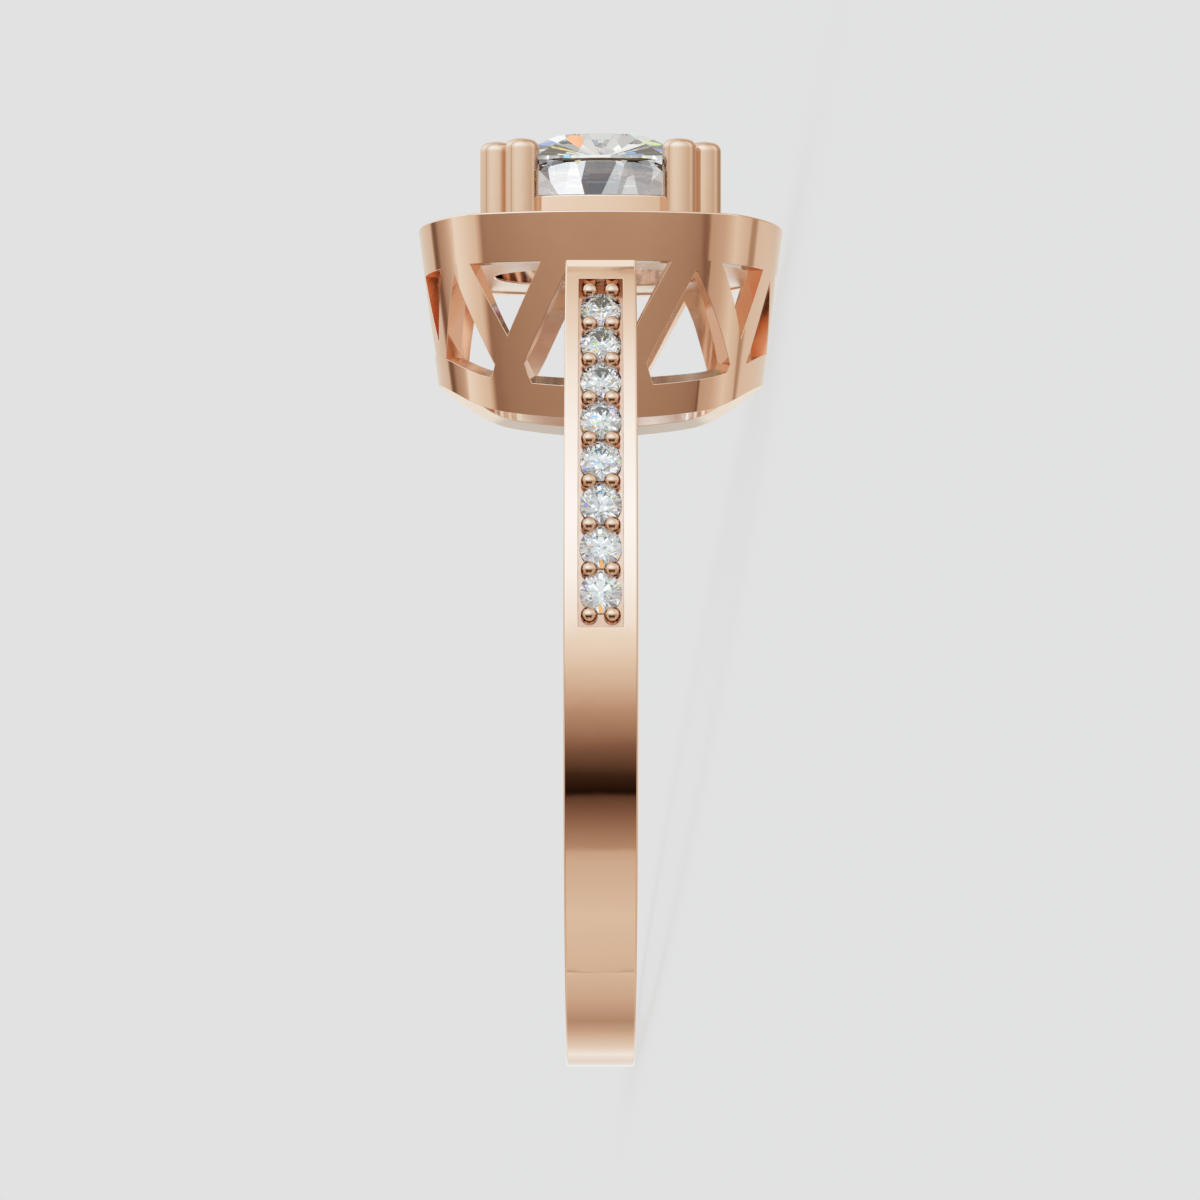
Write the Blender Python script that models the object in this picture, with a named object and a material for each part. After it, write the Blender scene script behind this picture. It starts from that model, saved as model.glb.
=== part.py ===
"""Halo engagement ring in rose gold with a cushion-cut centre stone, lying on its side.

The pieces are modelled round the middle of the finger hole: +X runs up through the head,
Y is the depth of the ring from its near shoulder to its far one, and Z runs along the
finger hole. An empty then tilts them all until the basket and the back of the shank
both touch the surface at z = 0.
"""

import math

import bmesh
import bpy
from mathutils import Matrix, Vector

MM = 0.001

# Finger hole and shank
FINGER_RADIUS = 8.55 * MM
SHANK_WIDTH = 1.8 * MM
SHANK_THICKNESS = 1.4 * MM
SHOULDER_REACH = 14.05 * MM
SHOULDER_DROP = 1.45 * MM
SHOULDER_LIP = 0.18 * MM
LIP_LEAN = math.radians(50.0)
SHANK_EDGE = 0.06 * MM
SHANK_END_REACH = 1.7 * MM

# Head seen from above: a cushion of arcs
HEAD_END_RADIUS = 9.0 * MM
HEAD_SIDE_RADIUS = 6.0 * MM
HEAD_CORNER_RADIUS = 1.8 * MM

# Pierced basket
BASKET_HEIGHT = 4.22 * MM
BASKET_WALL = 0.45 * MM
BASKET_SKIRT = 3.6 * MM
END_DRAFT = math.radians(5.0)
SIDE_DRAFT = math.radians(7.4)
RIM_EDGE = 0.05 * MM
OPENING_PAIRS = 9
OPENING_PHASE = 0.82 * MM
OPENING_LIP = 0.03 * MM
APEX_DROP = 0.19 * MM
STRUT_WIDTH = 0.7 * MM
STRUT_LEAN = math.radians(27.2)
PATTERN_DROP = 1.2 * MM
BOTTOM_BAR = 0.84 * MM
UPRIGHT_HALF_WIDTH = 1.25 * MM
UPRIGHT_FOOT_HALF_WIDTH = 1.05 * MM
UPRIGHT_FOOT_RISE = 0.55 * MM

# Halo plate
HALO_HEIGHT = 1.25 * MM
HALO_RIM = 0.22 * MM
HALO_CHANNEL_WIDTH = 1.08 * MM
HALO_FLOOR_DEPTH = 0.55 * MM
GALLERY_DROP = 0.08 * MM
GALLERY_END_WIDTH = 0.65 * MM
GALLERY_SIDE_WIDTH = 0.53 * MM
PLATE_LEDGE_END = 0.47 * MM
PLATE_LEDGE_SIDE = 0.27 * MM

# Collet under the centre stone, whose outer face stands inside or outside the girdle
COLLET_END_REACH = -0.02 * MM
COLLET_SIDE_REACH = 0.09 * MM
COLLET_WALL = 0.3 * MM
COLLET_RISE = 0.68 * MM

# Prongs: how far a corner's two prongs stand in from the collet's ends and sides
PRONG_RADIUS = 0.42 * MM
PRONG_RISE = 2.2 * MM
PRONG_DOME = 0.24 * MM
PRONG_ROOT = 0.5 * MM
PRONG_FROM_END = (0.26 * MM, 0.87 * MM)
PRONG_FROM_SIDE = (1.06 * MM, 0.38 * MM)

# Centre stone
STONE_HALF_LENGTH = 2.72 * MM
STONE_HALF_WIDTH = 3.06 * MM
STONE_SQUARENESS = 2.5
STONE_FOLDS = 8
STONE_TABLE_SHARE = 0.55
STONE_STAR_SHARE = 0.78
STONE_STAR_HEIGHT = 0.6
STONE_LOWER_SHARE = 0.25
STONE_LOWER_DEPTH = 0.79
STONE_CROWN = 0.79 * MM
STONE_GIRDLE = 0.1 * MM
STONE_PAVILION = 2.25 * MM
STONE_ABOVE_RIM = 1.73 * MM

# Small round stones and their bead prongs
SHOULDER_STONES = 8
SHOULDER_STONE_RADIUS = 0.485 * MM
SHOULDER_STONE_PITCH = 1.118 * MM
SHOULDER_CHANNEL_WIDTH = 1.1 * MM
SHOULDER_CHANNEL_DEPTH = 0.42 * MM
SHOULDER_SETTING_DEPTH = 0.22 * MM
SHOULDER_CHANNEL_START = math.radians(98.4)
SHOULDER_CHANNEL_END_ROOM = 0.31 * MM
SHOULDER_BEAD_RADIUS = 0.185 * MM
SHOULDER_BEAD_POST = 0.1 * MM
SHOULDER_BEAD_ACROSS = 0.28 * MM
SHOULDER_BEAD_LIFT = 0.17 * MM
HALO_STONES = 20
HALO_STONE_RADIUS = 0.49 * MM
HALO_SETTING_DEPTH = 0.35 * MM
HALO_BEAD_RADIUS = 0.16 * MM
HALO_BEAD_POST = 0.08 * MM
HALO_BEAD_ACROSS = 0.24 * MM
HALO_BEAD_LIFT = 0.15 * MM
SMALL_TABLE_SHARE = 0.55
SMALL_CROWN_SHARE = 0.31
SMALL_GIRDLE_SHARE = 0.06
SMALL_PAVILION_SHARE = 0.86

# Fit between stones and metal, and how far joined shapes reach into each other
SEAT_CLEARANCE = 0.03 * MM
JOIN = 0.15 * MM
CUT_REACH = 0.8 * MM

# Facets
HEAD_STEPS = 60
SHANK_STEP = math.radians(6.0)
FINGER_SIDES = 60
PRONG_SIDES = 12
PRONG_DOME_STEPS = 2
BEAD_SIDES = 10
SMALL_STONE_SIDES = 8
GIRDLE_STEPS = 32
SHARP_ANGLE = math.radians(35.0)

# Colours and finishes
ROSE_GOLD_COLOUR = (0.86, 0.6, 0.45)
ROSE_GOLD_ROUGHNESS = 0.12
DIAMOND_COLOUR = (0.95, 0.96, 0.97)
DIAMOND_IOR = 2.42

# Working precision
MERGE = 0.0005 * MM
SMALL_TURN = math.radians(0.05)
BISECTIONS = 30
WALK_STEPS = 480

COLLET_HALF_LENGTH = STONE_HALF_LENGTH + COLLET_END_REACH
COLLET_HALF_WIDTH = STONE_HALF_WIDTH + COLLET_SIDE_REACH
PLATE_HOLE_HALF_LENGTH = COLLET_HALF_LENGTH - PLATE_LEDGE_END
PLATE_HOLE_HALF_WIDTH = COLLET_HALF_WIDTH - PLATE_LEDGE_SIDE
HEAD_HALF_LENGTH = COLLET_HALF_LENGTH + GALLERY_END_WIDTH + HALO_CHANNEL_WIDTH + HALO_RIM
HEAD_HALF_WIDTH = COLLET_HALF_WIDTH + GALLERY_SIDE_WIDTH + HALO_CHANNEL_WIDTH + HALO_RIM
RIM_TOP = FINGER_RADIUS + BASKET_HEIGHT
PLATE_UNDERSIDE = RIM_TOP - HALO_HEIGHT
SHANK_OUTER_RADIUS = FINGER_RADIUS + SHANK_THICKNESS
SHOULDER_TOP = RIM_TOP - SHOULDER_DROP
OPENING_TOP = PLATE_UNDERSIDE - OPENING_LIP


class Cushion:
    """A closed outline of four bulged sides and four round corners, in the Y-Z plane."""

    def __init__(self, half_length, half_width, end_radius, side_radius, corner_radius):
        self.end_radius = end_radius
        self.side_radius = side_radius
        self.corner_radius = corner_radius
        self.end_centre = half_length - end_radius
        self.side_centre = half_width - side_radius
        self.corner = self.find_corner()
        across, along = self.corner
        self.end_turn = math.atan2(across, along - self.end_centre)
        self.corner_turn = math.pi / 2 - math.atan2(along, across - self.side_centre)
        self.lengths = (
            end_radius * self.end_turn,
            corner_radius * (self.corner_turn - self.end_turn),
            side_radius * (math.pi / 2 - self.corner_turn),
        )
        self.quarter = sum(self.lengths)
        self.perimeter = 4.0 * self.quarter

    def find_corner(self):
        """Where the corner arc's centre lies, touching an end arc and a side arc inside."""
        end_reach = self.end_radius - self.corner_radius
        side_reach = self.side_radius - self.corner_radius
        apart = math.hypot(self.end_centre, self.side_centre)
        along_line = (apart**2 + end_reach**2 - side_reach**2) / (2.0 * apart)
        off_line = math.sqrt(max(end_reach**2 - along_line**2, 0.0))
        step_across = self.side_centre / apart
        step_along = -self.end_centre / apart
        across = along_line * step_across - off_line * step_along
        along = self.end_centre + along_line * step_along + off_line * step_across
        if across < 0.0 or along < 0.0:
            across = along_line * step_across + off_line * step_along
            along = self.end_centre + along_line * step_along - off_line * step_across
        return across, along

    def quarter_at(self, distance):
        """Place and outward direction at a distance from the middle of an end."""
        end_length, corner_length, _ = self.lengths
        if distance <= end_length:
            turn = distance / self.end_radius
            centre, radius = (0.0, self.end_centre), self.end_radius
        elif distance <= end_length + corner_length:
            turn = self.end_turn + (distance - end_length) / self.corner_radius
            centre, radius = self.corner, self.corner_radius
        else:
            turn = self.corner_turn + (distance - end_length - corner_length) / self.side_radius
            centre, radius = (self.side_centre, 0.0), self.side_radius
        outward = (math.sin(turn), math.cos(turn))
        place = (centre[0] + radius * outward[0], centre[1] + radius * outward[1])
        return place, outward

    def at(self, distance, inset=0.0):
        """Y, Z and outward direction at a distance round from the middle of the near end."""
        quarters, rest = divmod(distance % self.perimeter, self.quarter)
        backwards = quarters in (1.0, 3.0)
        place, outward = self.quarter_at(self.quarter - rest if backwards else rest)
        side = 1.0 if quarters < 2.0 else -1.0
        near = 1.0 if quarters in (0.0, 3.0) else -1.0
        normal = Vector((0.0, -near * outward[1], -side * outward[0]))
        point = Vector((0.0, -near * place[1], -side * place[0]))
        return point - normal * inset, normal


def clear_scene():
    for thing in list(bpy.data.objects):
        bpy.data.objects.remove(thing)


def new_collection(name):
    group = bpy.data.collections.new(name)
    bpy.context.scene.collection.children.link(group)
    return group


def add_mesh(name, shape, group):
    """Turns a bmesh into a mesh object of a collection."""
    thing = bpy.data.objects.new(name, as_mesh(name, shape))
    group.objects.link(thing)
    return thing


def add_helper(name, shape, group):
    """A shape that is only cut from, or joined to, the metal."""
    thing = add_mesh(name, shape, group)
    thing.hide_render = True
    thing.display_type = "WIRE"
    return thing


def material(name, colour, roughness):
    """A plain material, and its shader for what only one of them sets."""
    made = bpy.data.materials.new(name)
    made.use_nodes = True
    shader = made.node_tree.nodes["Principled BSDF"]
    shader.inputs["Base Color"].default_value = (*colour, 1.0)
    shader.inputs["Roughness"].default_value = roughness
    return made, shader


def rose_gold():
    made, shader = material("rose_gold", ROSE_GOLD_COLOUR, ROSE_GOLD_ROUGHNESS)
    shader.inputs["Metallic"].default_value = 1.0
    return made


def diamond():
    made, shader = material("diamond", DIAMOND_COLOUR, 0.0)
    shader.inputs["Transmission Weight"].default_value = 1.0
    shader.inputs["IOR"].default_value = DIAMOND_IOR
    return made


def turned(profile, sides):
    """Turns a profile of (radius, height) points round the Z axis."""
    shape = bmesh.new()
    points = [shape.verts.new((radius, 0.0, height)) for radius, height in profile]
    edges = [shape.edges.new(pair) for pair in zip(points, points[1:])]
    bmesh.ops.spin(
        shape, geom=points + edges, cent=(0, 0, 0), axis=(0, 0, 1), angle=math.tau, steps=sides
    )
    bmesh.ops.remove_doubles(shape, verts=shape.verts[:], dist=MERGE)
    bmesh.ops.recalc_face_normals(shape, faces=shape.faces[:])
    return shape


def as_mesh(name, shape):
    """A bmesh as mesh data."""
    bmesh.ops.recalc_face_normals(shape, faces=shape.faces[:])
    mesh = bpy.data.meshes.new(name)
    shape.to_mesh(mesh)
    shape.free()
    return mesh


def copies(mesh, places):
    """One shape that holds a copy of a mesh at each place."""
    shape = bmesh.new()
    for place in places:
        before = len(shape.verts)
        shape.from_mesh(mesh)
        shape.verts.ensure_lookup_table()
        bmesh.ops.transform(shape, matrix=place, verts=shape.verts[before:])
    return shape


def placed(origin, up, along):
    """The matrix of a piece whose Z points up and whose X points along."""
    up = up.normalized()
    across = up.cross(along).normalized()
    matrix = Matrix((across.cross(up), across, up)).transposed().to_4x4()
    matrix.translation = origin
    return matrix


def loft(loops):
    """Joins closed loops of equal length in a ring, the last to the first."""
    shape = bmesh.new()
    rows = [[shape.verts.new(point) for point in loop] for loop in loops]
    for row, after in zip(rows, rows[1:] + rows[:1]):
        for index in range(len(row)):
            beside = (index + 1) % len(row)
            shape.faces.new((row[index], row[beside], after[beside], after[index]))
    return shape


def basket_outline(height):
    """The head's outer outline at a height above the finger hole's middle."""
    below = RIM_TOP - height
    return Cushion(
        HEAD_HALF_LENGTH - below * math.tan(END_DRAFT),
        HEAD_HALF_WIDTH - below * math.tan(SIDE_DRAFT),
        HEAD_END_RADIUS,
        HEAD_SIDE_RADIUS,
        HEAD_CORNER_RADIUS,
    )


def cushion_loop(outline, height, inset=0.0):
    """Points round a cushion outline at a height."""
    loop = []
    for index in range(HEAD_STEPS):
        point, _ = outline.at(outline.perimeter * index / HEAD_STEPS, inset)
        loop.append(point + Vector((height, 0.0, 0.0)))
    return loop


def oval_loop(half_length, half_width, height, squareness=2.0):
    """Points round a superellipse at a height."""
    loop = []
    for index in range(HEAD_STEPS):
        turn = math.tau * index / HEAD_STEPS
        reach = superellipse(half_length, half_width, squareness, turn)
        loop.append(Vector((height, -reach * math.cos(turn), -reach * math.sin(turn))))
    return loop


def superellipse(half_length, half_width, squareness, turn):
    """Distance from the middle to the outline at a turn from its long axis Y."""
    along = abs(math.cos(turn)) / half_length
    across = abs(math.sin(turn)) / half_width
    return (along**squareness + across**squareness) ** (-1.0 / squareness)


def head_body():
    """Basket wall, halo rim, stone channel, gallery and collet in one closed shape."""
    skirt = FINGER_RADIUS - BASKET_SKIRT
    rim = basket_outline(RIM_TOP)
    floor = RIM_TOP - HALO_FLOOR_DEPTH
    gallery = RIM_TOP - GALLERY_DROP
    collet_top = RIM_TOP + COLLET_RISE
    channel_inner = HALO_RIM + HALO_CHANNEL_WIDTH
    inner_length = COLLET_HALF_LENGTH - COLLET_WALL
    inner_width = COLLET_HALF_WIDTH - COLLET_WALL
    loops = [
        cushion_loop(basket_outline(skirt), skirt),
        cushion_loop(basket_outline(RIM_TOP - RIM_EDGE), RIM_TOP - RIM_EDGE),
        cushion_loop(rim, RIM_TOP, RIM_EDGE),
        cushion_loop(rim, RIM_TOP, HALO_RIM),
        cushion_loop(rim, floor, HALO_RIM),
        cushion_loop(rim, floor, channel_inner),
        cushion_loop(rim, gallery, channel_inner),
        oval_loop(COLLET_HALF_LENGTH, COLLET_HALF_WIDTH, gallery, STONE_SQUARENESS),
        oval_loop(COLLET_HALF_LENGTH, COLLET_HALF_WIDTH, collet_top, STONE_SQUARENESS),
        oval_loop(inner_length, inner_width, collet_top, STONE_SQUARENESS),
        oval_loop(PLATE_HOLE_HALF_LENGTH, PLATE_HOLE_HALF_WIDTH, PLATE_UNDERSIDE),
        cushion_loop(basket_outline(PLATE_UNDERSIDE), PLATE_UNDERSIDE, BASKET_WALL),
        cushion_loop(basket_outline(skirt), skirt, BASKET_WALL),
    ]
    return loft(loops)


def wall_point(share, height, depth):
    """A place in the basket wall, at a share of its way round from the near end's middle."""
    outline = basket_outline(height)
    point, _ = outline.at(share * outline.perimeter, depth)
    return point + Vector((height, 0.0, 0.0))


def lower_edge(share):
    """Height of the basket's lower edge, where the finger hole cuts the wall."""
    along = wall_point(share, FINGER_RADIUS, 0.0).y
    return math.sqrt(FINGER_RADIUS**2 - along**2)


def last_open(gap, half_width, side):
    """How far to a side an opening reaches before its top and bottom edges meet."""
    if gap(side * half_width) >= 0.0:
        return half_width
    inside, outside = 0.0, half_width
    for _ in range(BISECTIONS):
        middle = (inside + outside) / 2.0
        if gap(side * middle) >= 0.0:
            inside = middle
        else:
            outside = middle
    return inside


def add_opening(shape, middle, half_width, top, bottom, shares):
    """Adds the cutter of one opening, as a row of sections through the wall."""
    around = basket_outline(OPENING_TOP - PATTERN_DROP).perimeter
    rows = []
    for share in shares:
        side = math.copysign(1.0, share)
        reach = last_open(lambda x: top(x) - bottom(x), half_width, side)
        offset = share * reach
        place = (middle + offset) / around
        corners = (
            (bottom(offset), -CUT_REACH),
            (top(offset), -CUT_REACH),
            (top(offset), BASKET_WALL + CUT_REACH),
            (bottom(offset), BASKET_WALL + CUT_REACH),
        )
        rows.append([shape.verts.new(wall_point(place, *corner)) for corner in corners])
    for row, after in zip(rows, rows[1:]):
        for index in range(len(row)):
            beside = (index + 1) % len(row)
            shape.faces.new((row[index], row[beside], after[beside], after[index]))
    shape.faces.new(rows[0])
    shape.faces.new(rows[-1])


def openings_cutter():
    """The basket's openings: upright pentagons between small inverted triangles."""
    shape = bmesh.new()
    around = basket_outline(OPENING_TOP - PATTERN_DROP).perimeter
    period = around / OPENING_PAIRS
    slope = 1.0 / math.tan(STRUT_LEAN)
    apex = OPENING_TOP - APEX_DROP
    strut_across = STRUT_WIDTH / math.cos(STRUT_LEAN)
    tip = apex - (period / 2.0 - strut_across) * slope
    foot_slope = UPRIGHT_FOOT_RISE / (UPRIGHT_HALF_WIDTH - UPRIGHT_FOOT_HALF_WIDTH)
    foot_share = UPRIGHT_FOOT_HALF_WIDTH / UPRIGHT_HALF_WIDTH
    for pair in range(OPENING_PAIRS):
        inverted_middle = OPENING_PHASE + pair * period
        upright_middle = inverted_middle + period / 2.0

        def upright_top(offset):
            return apex - abs(offset) * slope

        def upright_bottom(offset, middle=upright_middle):
            bar_top = lower_edge((middle + offset) / around) + BOTTOM_BAR
            corner = apex - UPRIGHT_HALF_WIDTH * slope
            return max(bar_top, corner - (UPRIGHT_HALF_WIDTH - abs(offset)) * foot_slope)

        def inverted_top(offset):
            return OPENING_TOP

        def inverted_bottom(offset):
            return tip + abs(offset) * slope

        upright_shares = (-1.0, -foot_share, 0.0, foot_share, 1.0)
        add_opening(
            shape, upright_middle, UPRIGHT_HALF_WIDTH, upright_top, upright_bottom, upright_shares
        )
        inverted_half_width = (OPENING_TOP - tip) / slope
        add_opening(
            shape,
            inverted_middle,
            inverted_half_width,
            inverted_top,
            inverted_bottom,
            (-1.0, 0.0, 1.0),
        )
    bmesh.ops.remove_doubles(shape, verts=shape.verts[:], dist=MERGE)
    bmesh.ops.dissolve_degenerate(shape, edges=shape.edges[:], dist=MERGE)
    return shape


def shank_point(turn, inset=0.0):
    """A point of the shank's outer outline, at a turn from its lowest point, and its normal.

    The lower half of the outline is round, and the upper half is half an ellipse.
    """
    def on_curve(angle):
        reach = SHOULDER_REACH if math.cos(angle) < 0.0 else SHANK_OUTER_RADIUS
        return Vector((-reach * math.cos(angle), SHANK_OUTER_RADIUS * math.sin(angle), 0.0))

    along = on_curve(turn + SMALL_TURN) - on_curve(turn - SMALL_TURN)
    normal = Vector((-along.y, along.x, 0.0)).normalized()
    point = on_curve(turn)
    if normal.dot(point) < 0.0:
        normal = -normal
    return point - normal * inset, normal


def walk(turn, distance):
    """The turn that lies a distance further up the shank's outer outline."""
    before = shank_point(turn)[0]
    while distance > 0.0:
        after = shank_point(turn + SMALL_TURN)[0]
        step = (after - before).length
        if step >= distance:
            return turn + SMALL_TURN * distance / step
        distance -= step
        before = after
        turn += SMALL_TURN
    return turn


def shoulder_end():
    """The turn at which the shank's outline reaches the lip at the shoulder's top."""
    turn = math.pi / 2.0
    while shank_point(turn)[0].x < SHOULDER_TOP - SHOULDER_LIP and turn < math.pi:
        turn += SMALL_TURN
    return turn


def prism(outline, half_height):
    """A flat outline in the X-Y plane, extruded both ways along Z."""
    shape = bmesh.new()
    loop = [shape.verts.new((point.x, point.y, -half_height)) for point in outline]
    face = shape.faces.new(loop)
    made = bmesh.ops.extrude_face_region(shape, geom=[face], use_keep_orig=True)
    moved = [part for part in made["geom"] if isinstance(part, bmesh.types.BMVert)]
    bmesh.ops.translate(shape, verts=moved, vec=(0.0, 0.0, 2.0 * half_height))
    return shape


def shank_body():
    """The shank and both shoulders, filled inside until the finger hole is cut."""
    end = shoulder_end()
    steps = math.ceil(end / SHANK_STEP)
    outer = [shank_point(end * index / steps)[0] for index in range(-steps, steps + 1)]
    lip_depth = outer[-1].y - SHOULDER_LIP * math.tan(LIP_LEAN)
    wall_top = basket_outline(SHOULDER_TOP).at(0.0, BASKET_WALL / 2.0)[0].y
    low = FINGER_RADIUS - SHANK_END_REACH
    wall_low = basket_outline(low).at(0.0, BASKET_WALL / 2.0)[0].y
    inner = [
        Vector((SHOULDER_TOP, lip_depth, 0.0)),
        Vector((SHOULDER_TOP, -wall_top, 0.0)),
        Vector((low, -wall_low, 0.0)),
        Vector((low, wall_low, 0.0)),
        Vector((SHOULDER_TOP, wall_top, 0.0)),
        Vector((SHOULDER_TOP, -lip_depth, 0.0)),
    ]
    shape = prism(outer + inner, SHANK_WIDTH / 2.0)
    rim = [edge for edge in shape.edges if is_outer_rim(edge)]
    bmesh.ops.bevel(shape, geom=rim, offset=SHANK_EDGE, segments=1, affect="EDGES")
    return shape


def is_outer_rim(edge):
    """Whether an edge of the shank lies on its outer outline and beside a flat side."""
    ends = [vert.co for vert in edge.verts]
    level = abs(ends[0].z - ends[1].z) < MERGE
    radii = [math.hypot(end.x, end.y) for end in ends]
    return level and min(radii) > SHANK_OUTER_RADIUS - MERGE


def finger_cutter():
    shape = bmesh.new()
    bmesh.ops.create_cone(
        shape,
        cap_ends=True,
        segments=FINGER_SIDES,
        radius1=FINGER_RADIUS,
        radius2=FINGER_RADIUS,
        depth=2.0 * (HEAD_HALF_WIDTH + CUT_REACH),
    )
    return shape


def channel_turns():
    """Where the stones and the bead pairs of a shoulder sit along its outline."""
    first = walk(SHOULDER_CHANNEL_START, SHOULDER_CHANNEL_END_ROOM)
    beads = [walk(first, index * SHOULDER_STONE_PITCH) for index in range(SHOULDER_STONES + 1)]
    stones = [walk(turn, SHOULDER_STONE_PITCH / 2.0) for turn in beads[:-1]]
    return stones, beads


def channel_cutter(side):
    """The recess of one shoulder, as wide as its row of stones."""
    _, beads = channel_turns()
    end = walk(beads[-1], SHOULDER_CHANNEL_END_ROOM)
    steps = math.ceil((end - SHOULDER_CHANNEL_START) / SHANK_STEP)
    turns = [
        SHOULDER_CHANNEL_START + (end - SHOULDER_CHANNEL_START) * index / steps
        for index in range(steps + 1)
    ]
    outside = [shank_point(side * turn, -CUT_REACH)[0] for turn in turns]
    floor = [shank_point(side * turn, SHOULDER_CHANNEL_DEPTH)[0] for turn in turns]
    return prism(outside + floor[::-1], SHOULDER_CHANNEL_WIDTH / 2.0)


def shoulder_places(turns, side, across, depth):
    """Matrices at a depth under a shoulder's outline, facing out."""
    places = []
    for turn in turns:
        point, normal = shank_point(side * turn, depth)
        along = normal.cross(Vector((0.0, 0.0, 1.0)))
        places.append(placed(point + Vector((0.0, 0.0, across)), normal, along))
    return places


def halo_places(count, phase, across, depth):
    """Matrices round the halo's channel at a depth under its rim, facing up."""
    rim = basket_outline(RIM_TOP)
    middle = HALO_RIM + HALO_CHANNEL_WIDTH / 2.0
    places = []
    for index in range(count):
        distance = halo_distance(rim, middle, (index + phase) / count)
        point, outward = rim.at(distance, middle - across)
        height = Vector((RIM_TOP - depth, 0.0, 0.0))
        places.append(placed(point + height, Vector((1.0, 0.0, 0.0)), outward))
    return places


def halo_distance(rim, middle, share):
    """Distance round the rim that lies at an even share of the channel's middle line."""
    steps = range(WALK_STEPS + 1)
    points = [rim.at(rim.perimeter * index / WALK_STEPS, middle)[0] for index in steps]
    lengths = [(after - before).length for before, after in zip(points, points[1:])]
    wanted = share * sum(lengths)
    for index, length in enumerate(lengths):
        if wanted <= length:
            return rim.perimeter * (index + wanted / length) / WALK_STEPS
        wanted -= length
    return 0.0


def bead_mesh(name, radius, post, lift, root):
    """A ball on a thin post. Its place is at the stone's girdle, and its root is in the floor."""
    neck = math.sqrt(radius**2 - post**2)
    diagonal = radius * math.sqrt(0.5)
    profile = [
        (0.0, -root),
        (post, -root),
        (post, lift - neck),
        (radius, lift),
        (diagonal, lift + diagonal),
        (0.0, lift + radius),
    ]
    return as_mesh(name, turned(profile, BEAD_SIDES))


def small_stone_mesh(name, radius, clearance=0.0):
    """A round stone with a table and eight facets above and below, its girdle's top at z = 0."""
    girdle = radius + clearance
    profile = [
        (0.0, radius * SMALL_CROWN_SHARE + clearance),
        (radius * SMALL_TABLE_SHARE + clearance, radius * SMALL_CROWN_SHARE + clearance),
        (girdle, clearance),
        (girdle, -radius * SMALL_GIRDLE_SHARE - clearance),
        (0.0, -radius * (SMALL_GIRDLE_SHARE + SMALL_PAVILION_SHARE) - 2.0 * clearance),
    ]
    return as_mesh(name, turned(profile, SMALL_STONE_SIDES))


def facet(shape, point, normal):
    """Grinds one flat facet on a stone."""
    parts = shape.verts[:] + shape.edges[:] + shape.faces[:]
    cut = bmesh.ops.bisect_plane(
        shape, geom=parts, plane_co=point, plane_no=normal, clear_outer=True, dist=MERGE
    )
    edges = [part for part in cut["geom_cut"] if isinstance(part, bmesh.types.BMEdge)]
    if edges:
        bmesh.ops.edgeloop_fill(shape, edges=edges)


def centre_stone_shape(clearance=0.0):
    """A cushion brilliant: its girdle's top is at z = 0, its length runs along Y."""
    half_length = STONE_HALF_LENGTH + clearance
    half_width = STONE_HALF_WIDTH + clearance
    crown = STONE_CROWN + clearance
    bottom = -STONE_GIRDLE - clearance
    culet = bottom - STONE_PAVILION - clearance

    def edge(turn, share=1.0, height=0.0):
        reach = share * superellipse(half_length, half_width, STONE_SQUARENESS, turn)
        return Vector((reach * math.sin(turn), reach * math.cos(turn), height))

    outline = [edge(math.tau * index / GIRDLE_STEPS) for index in range(GIRDLE_STEPS)]
    shape = prism(outline, crown - culet)
    facet(shape, Vector((0.0, 0.0, crown)), Vector((0.0, 0.0, 1.0)))
    for index in range(STONE_FOLDS):
        turn = math.tau * index / STONE_FOLDS
        half = math.pi / STONE_FOLDS
        quarter = half / 2.0
        grind(shape, edge, turn, (1.0, clearance), (STONE_TABLE_SHARE, crown))
        grind(shape, edge, turn + half, (STONE_STAR_SHARE, crown * STONE_STAR_HEIGHT),
              (STONE_TABLE_SHARE * math.cos(half), crown))
        grind(shape, edge, turn, (1.0, bottom), (0.0, culet))
        for lean in (-quarter, quarter):
            grind(shape, edge, turn + half + lean, (1.0, clearance),
                  (STONE_STAR_SHARE, crown * STONE_STAR_HEIGHT))
            grind(shape, edge, turn + half + lean, (1.0, bottom),
                  (STONE_LOWER_SHARE, bottom - (STONE_PAVILION * STONE_LOWER_DEPTH)))
    return shape


def grind(shape, edge, turn, outer, inner):
    """One facet through two (share, height) points of a direction, level across them."""
    outer_point = edge(turn, *outer)
    inner_point = edge(turn, *inner)
    level = edge(turn + SMALL_TURN) - edge(turn - SMALL_TURN)
    normal = level.cross(inner_point - outer_point)
    if normal.dot(outer_point - Vector((0.0, 0.0, outer[1]))) < 0.0:
        normal = -normal
    facet(shape, outer_point, normal.normalized())


def prong_shape():
    """The eight round prongs, two at each corner of the centre stone."""
    length = PRONG_ROOT + PRONG_RISE
    post = bmesh.new()
    bmesh.ops.create_cone(
        post,
        cap_ends=True,
        segments=PRONG_SIDES,
        radius1=PRONG_RADIUS,
        radius2=PRONG_RADIUS,
        depth=length,
    )
    tops = [edge for edge in post.edges if min(vert.co.z for vert in edge.verts) > 0.0]
    bmesh.ops.bevel(
        post, geom=tops, offset=PRONG_DOME, segments=PRONG_DOME_STEPS, profile=0.5, affect="EDGES"
    )
    mesh = as_mesh("prong", post)
    height = RIM_TOP - PRONG_ROOT + length / 2.0
    places = []
    for from_end, from_side in zip(PRONG_FROM_END, PRONG_FROM_SIDE):
        along = COLLET_HALF_LENGTH - from_end
        across = COLLET_HALF_WIDTH - from_side
        for side in (-1.0, 1.0):
            for end in (-1.0, 1.0):
                origin = Vector((height, end * along, side * across))
                places.append(placed(origin, Vector((1.0, 0.0, 0.0)), Vector((0.0, 1.0, 0.0))))
    return copies(mesh, places)


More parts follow.
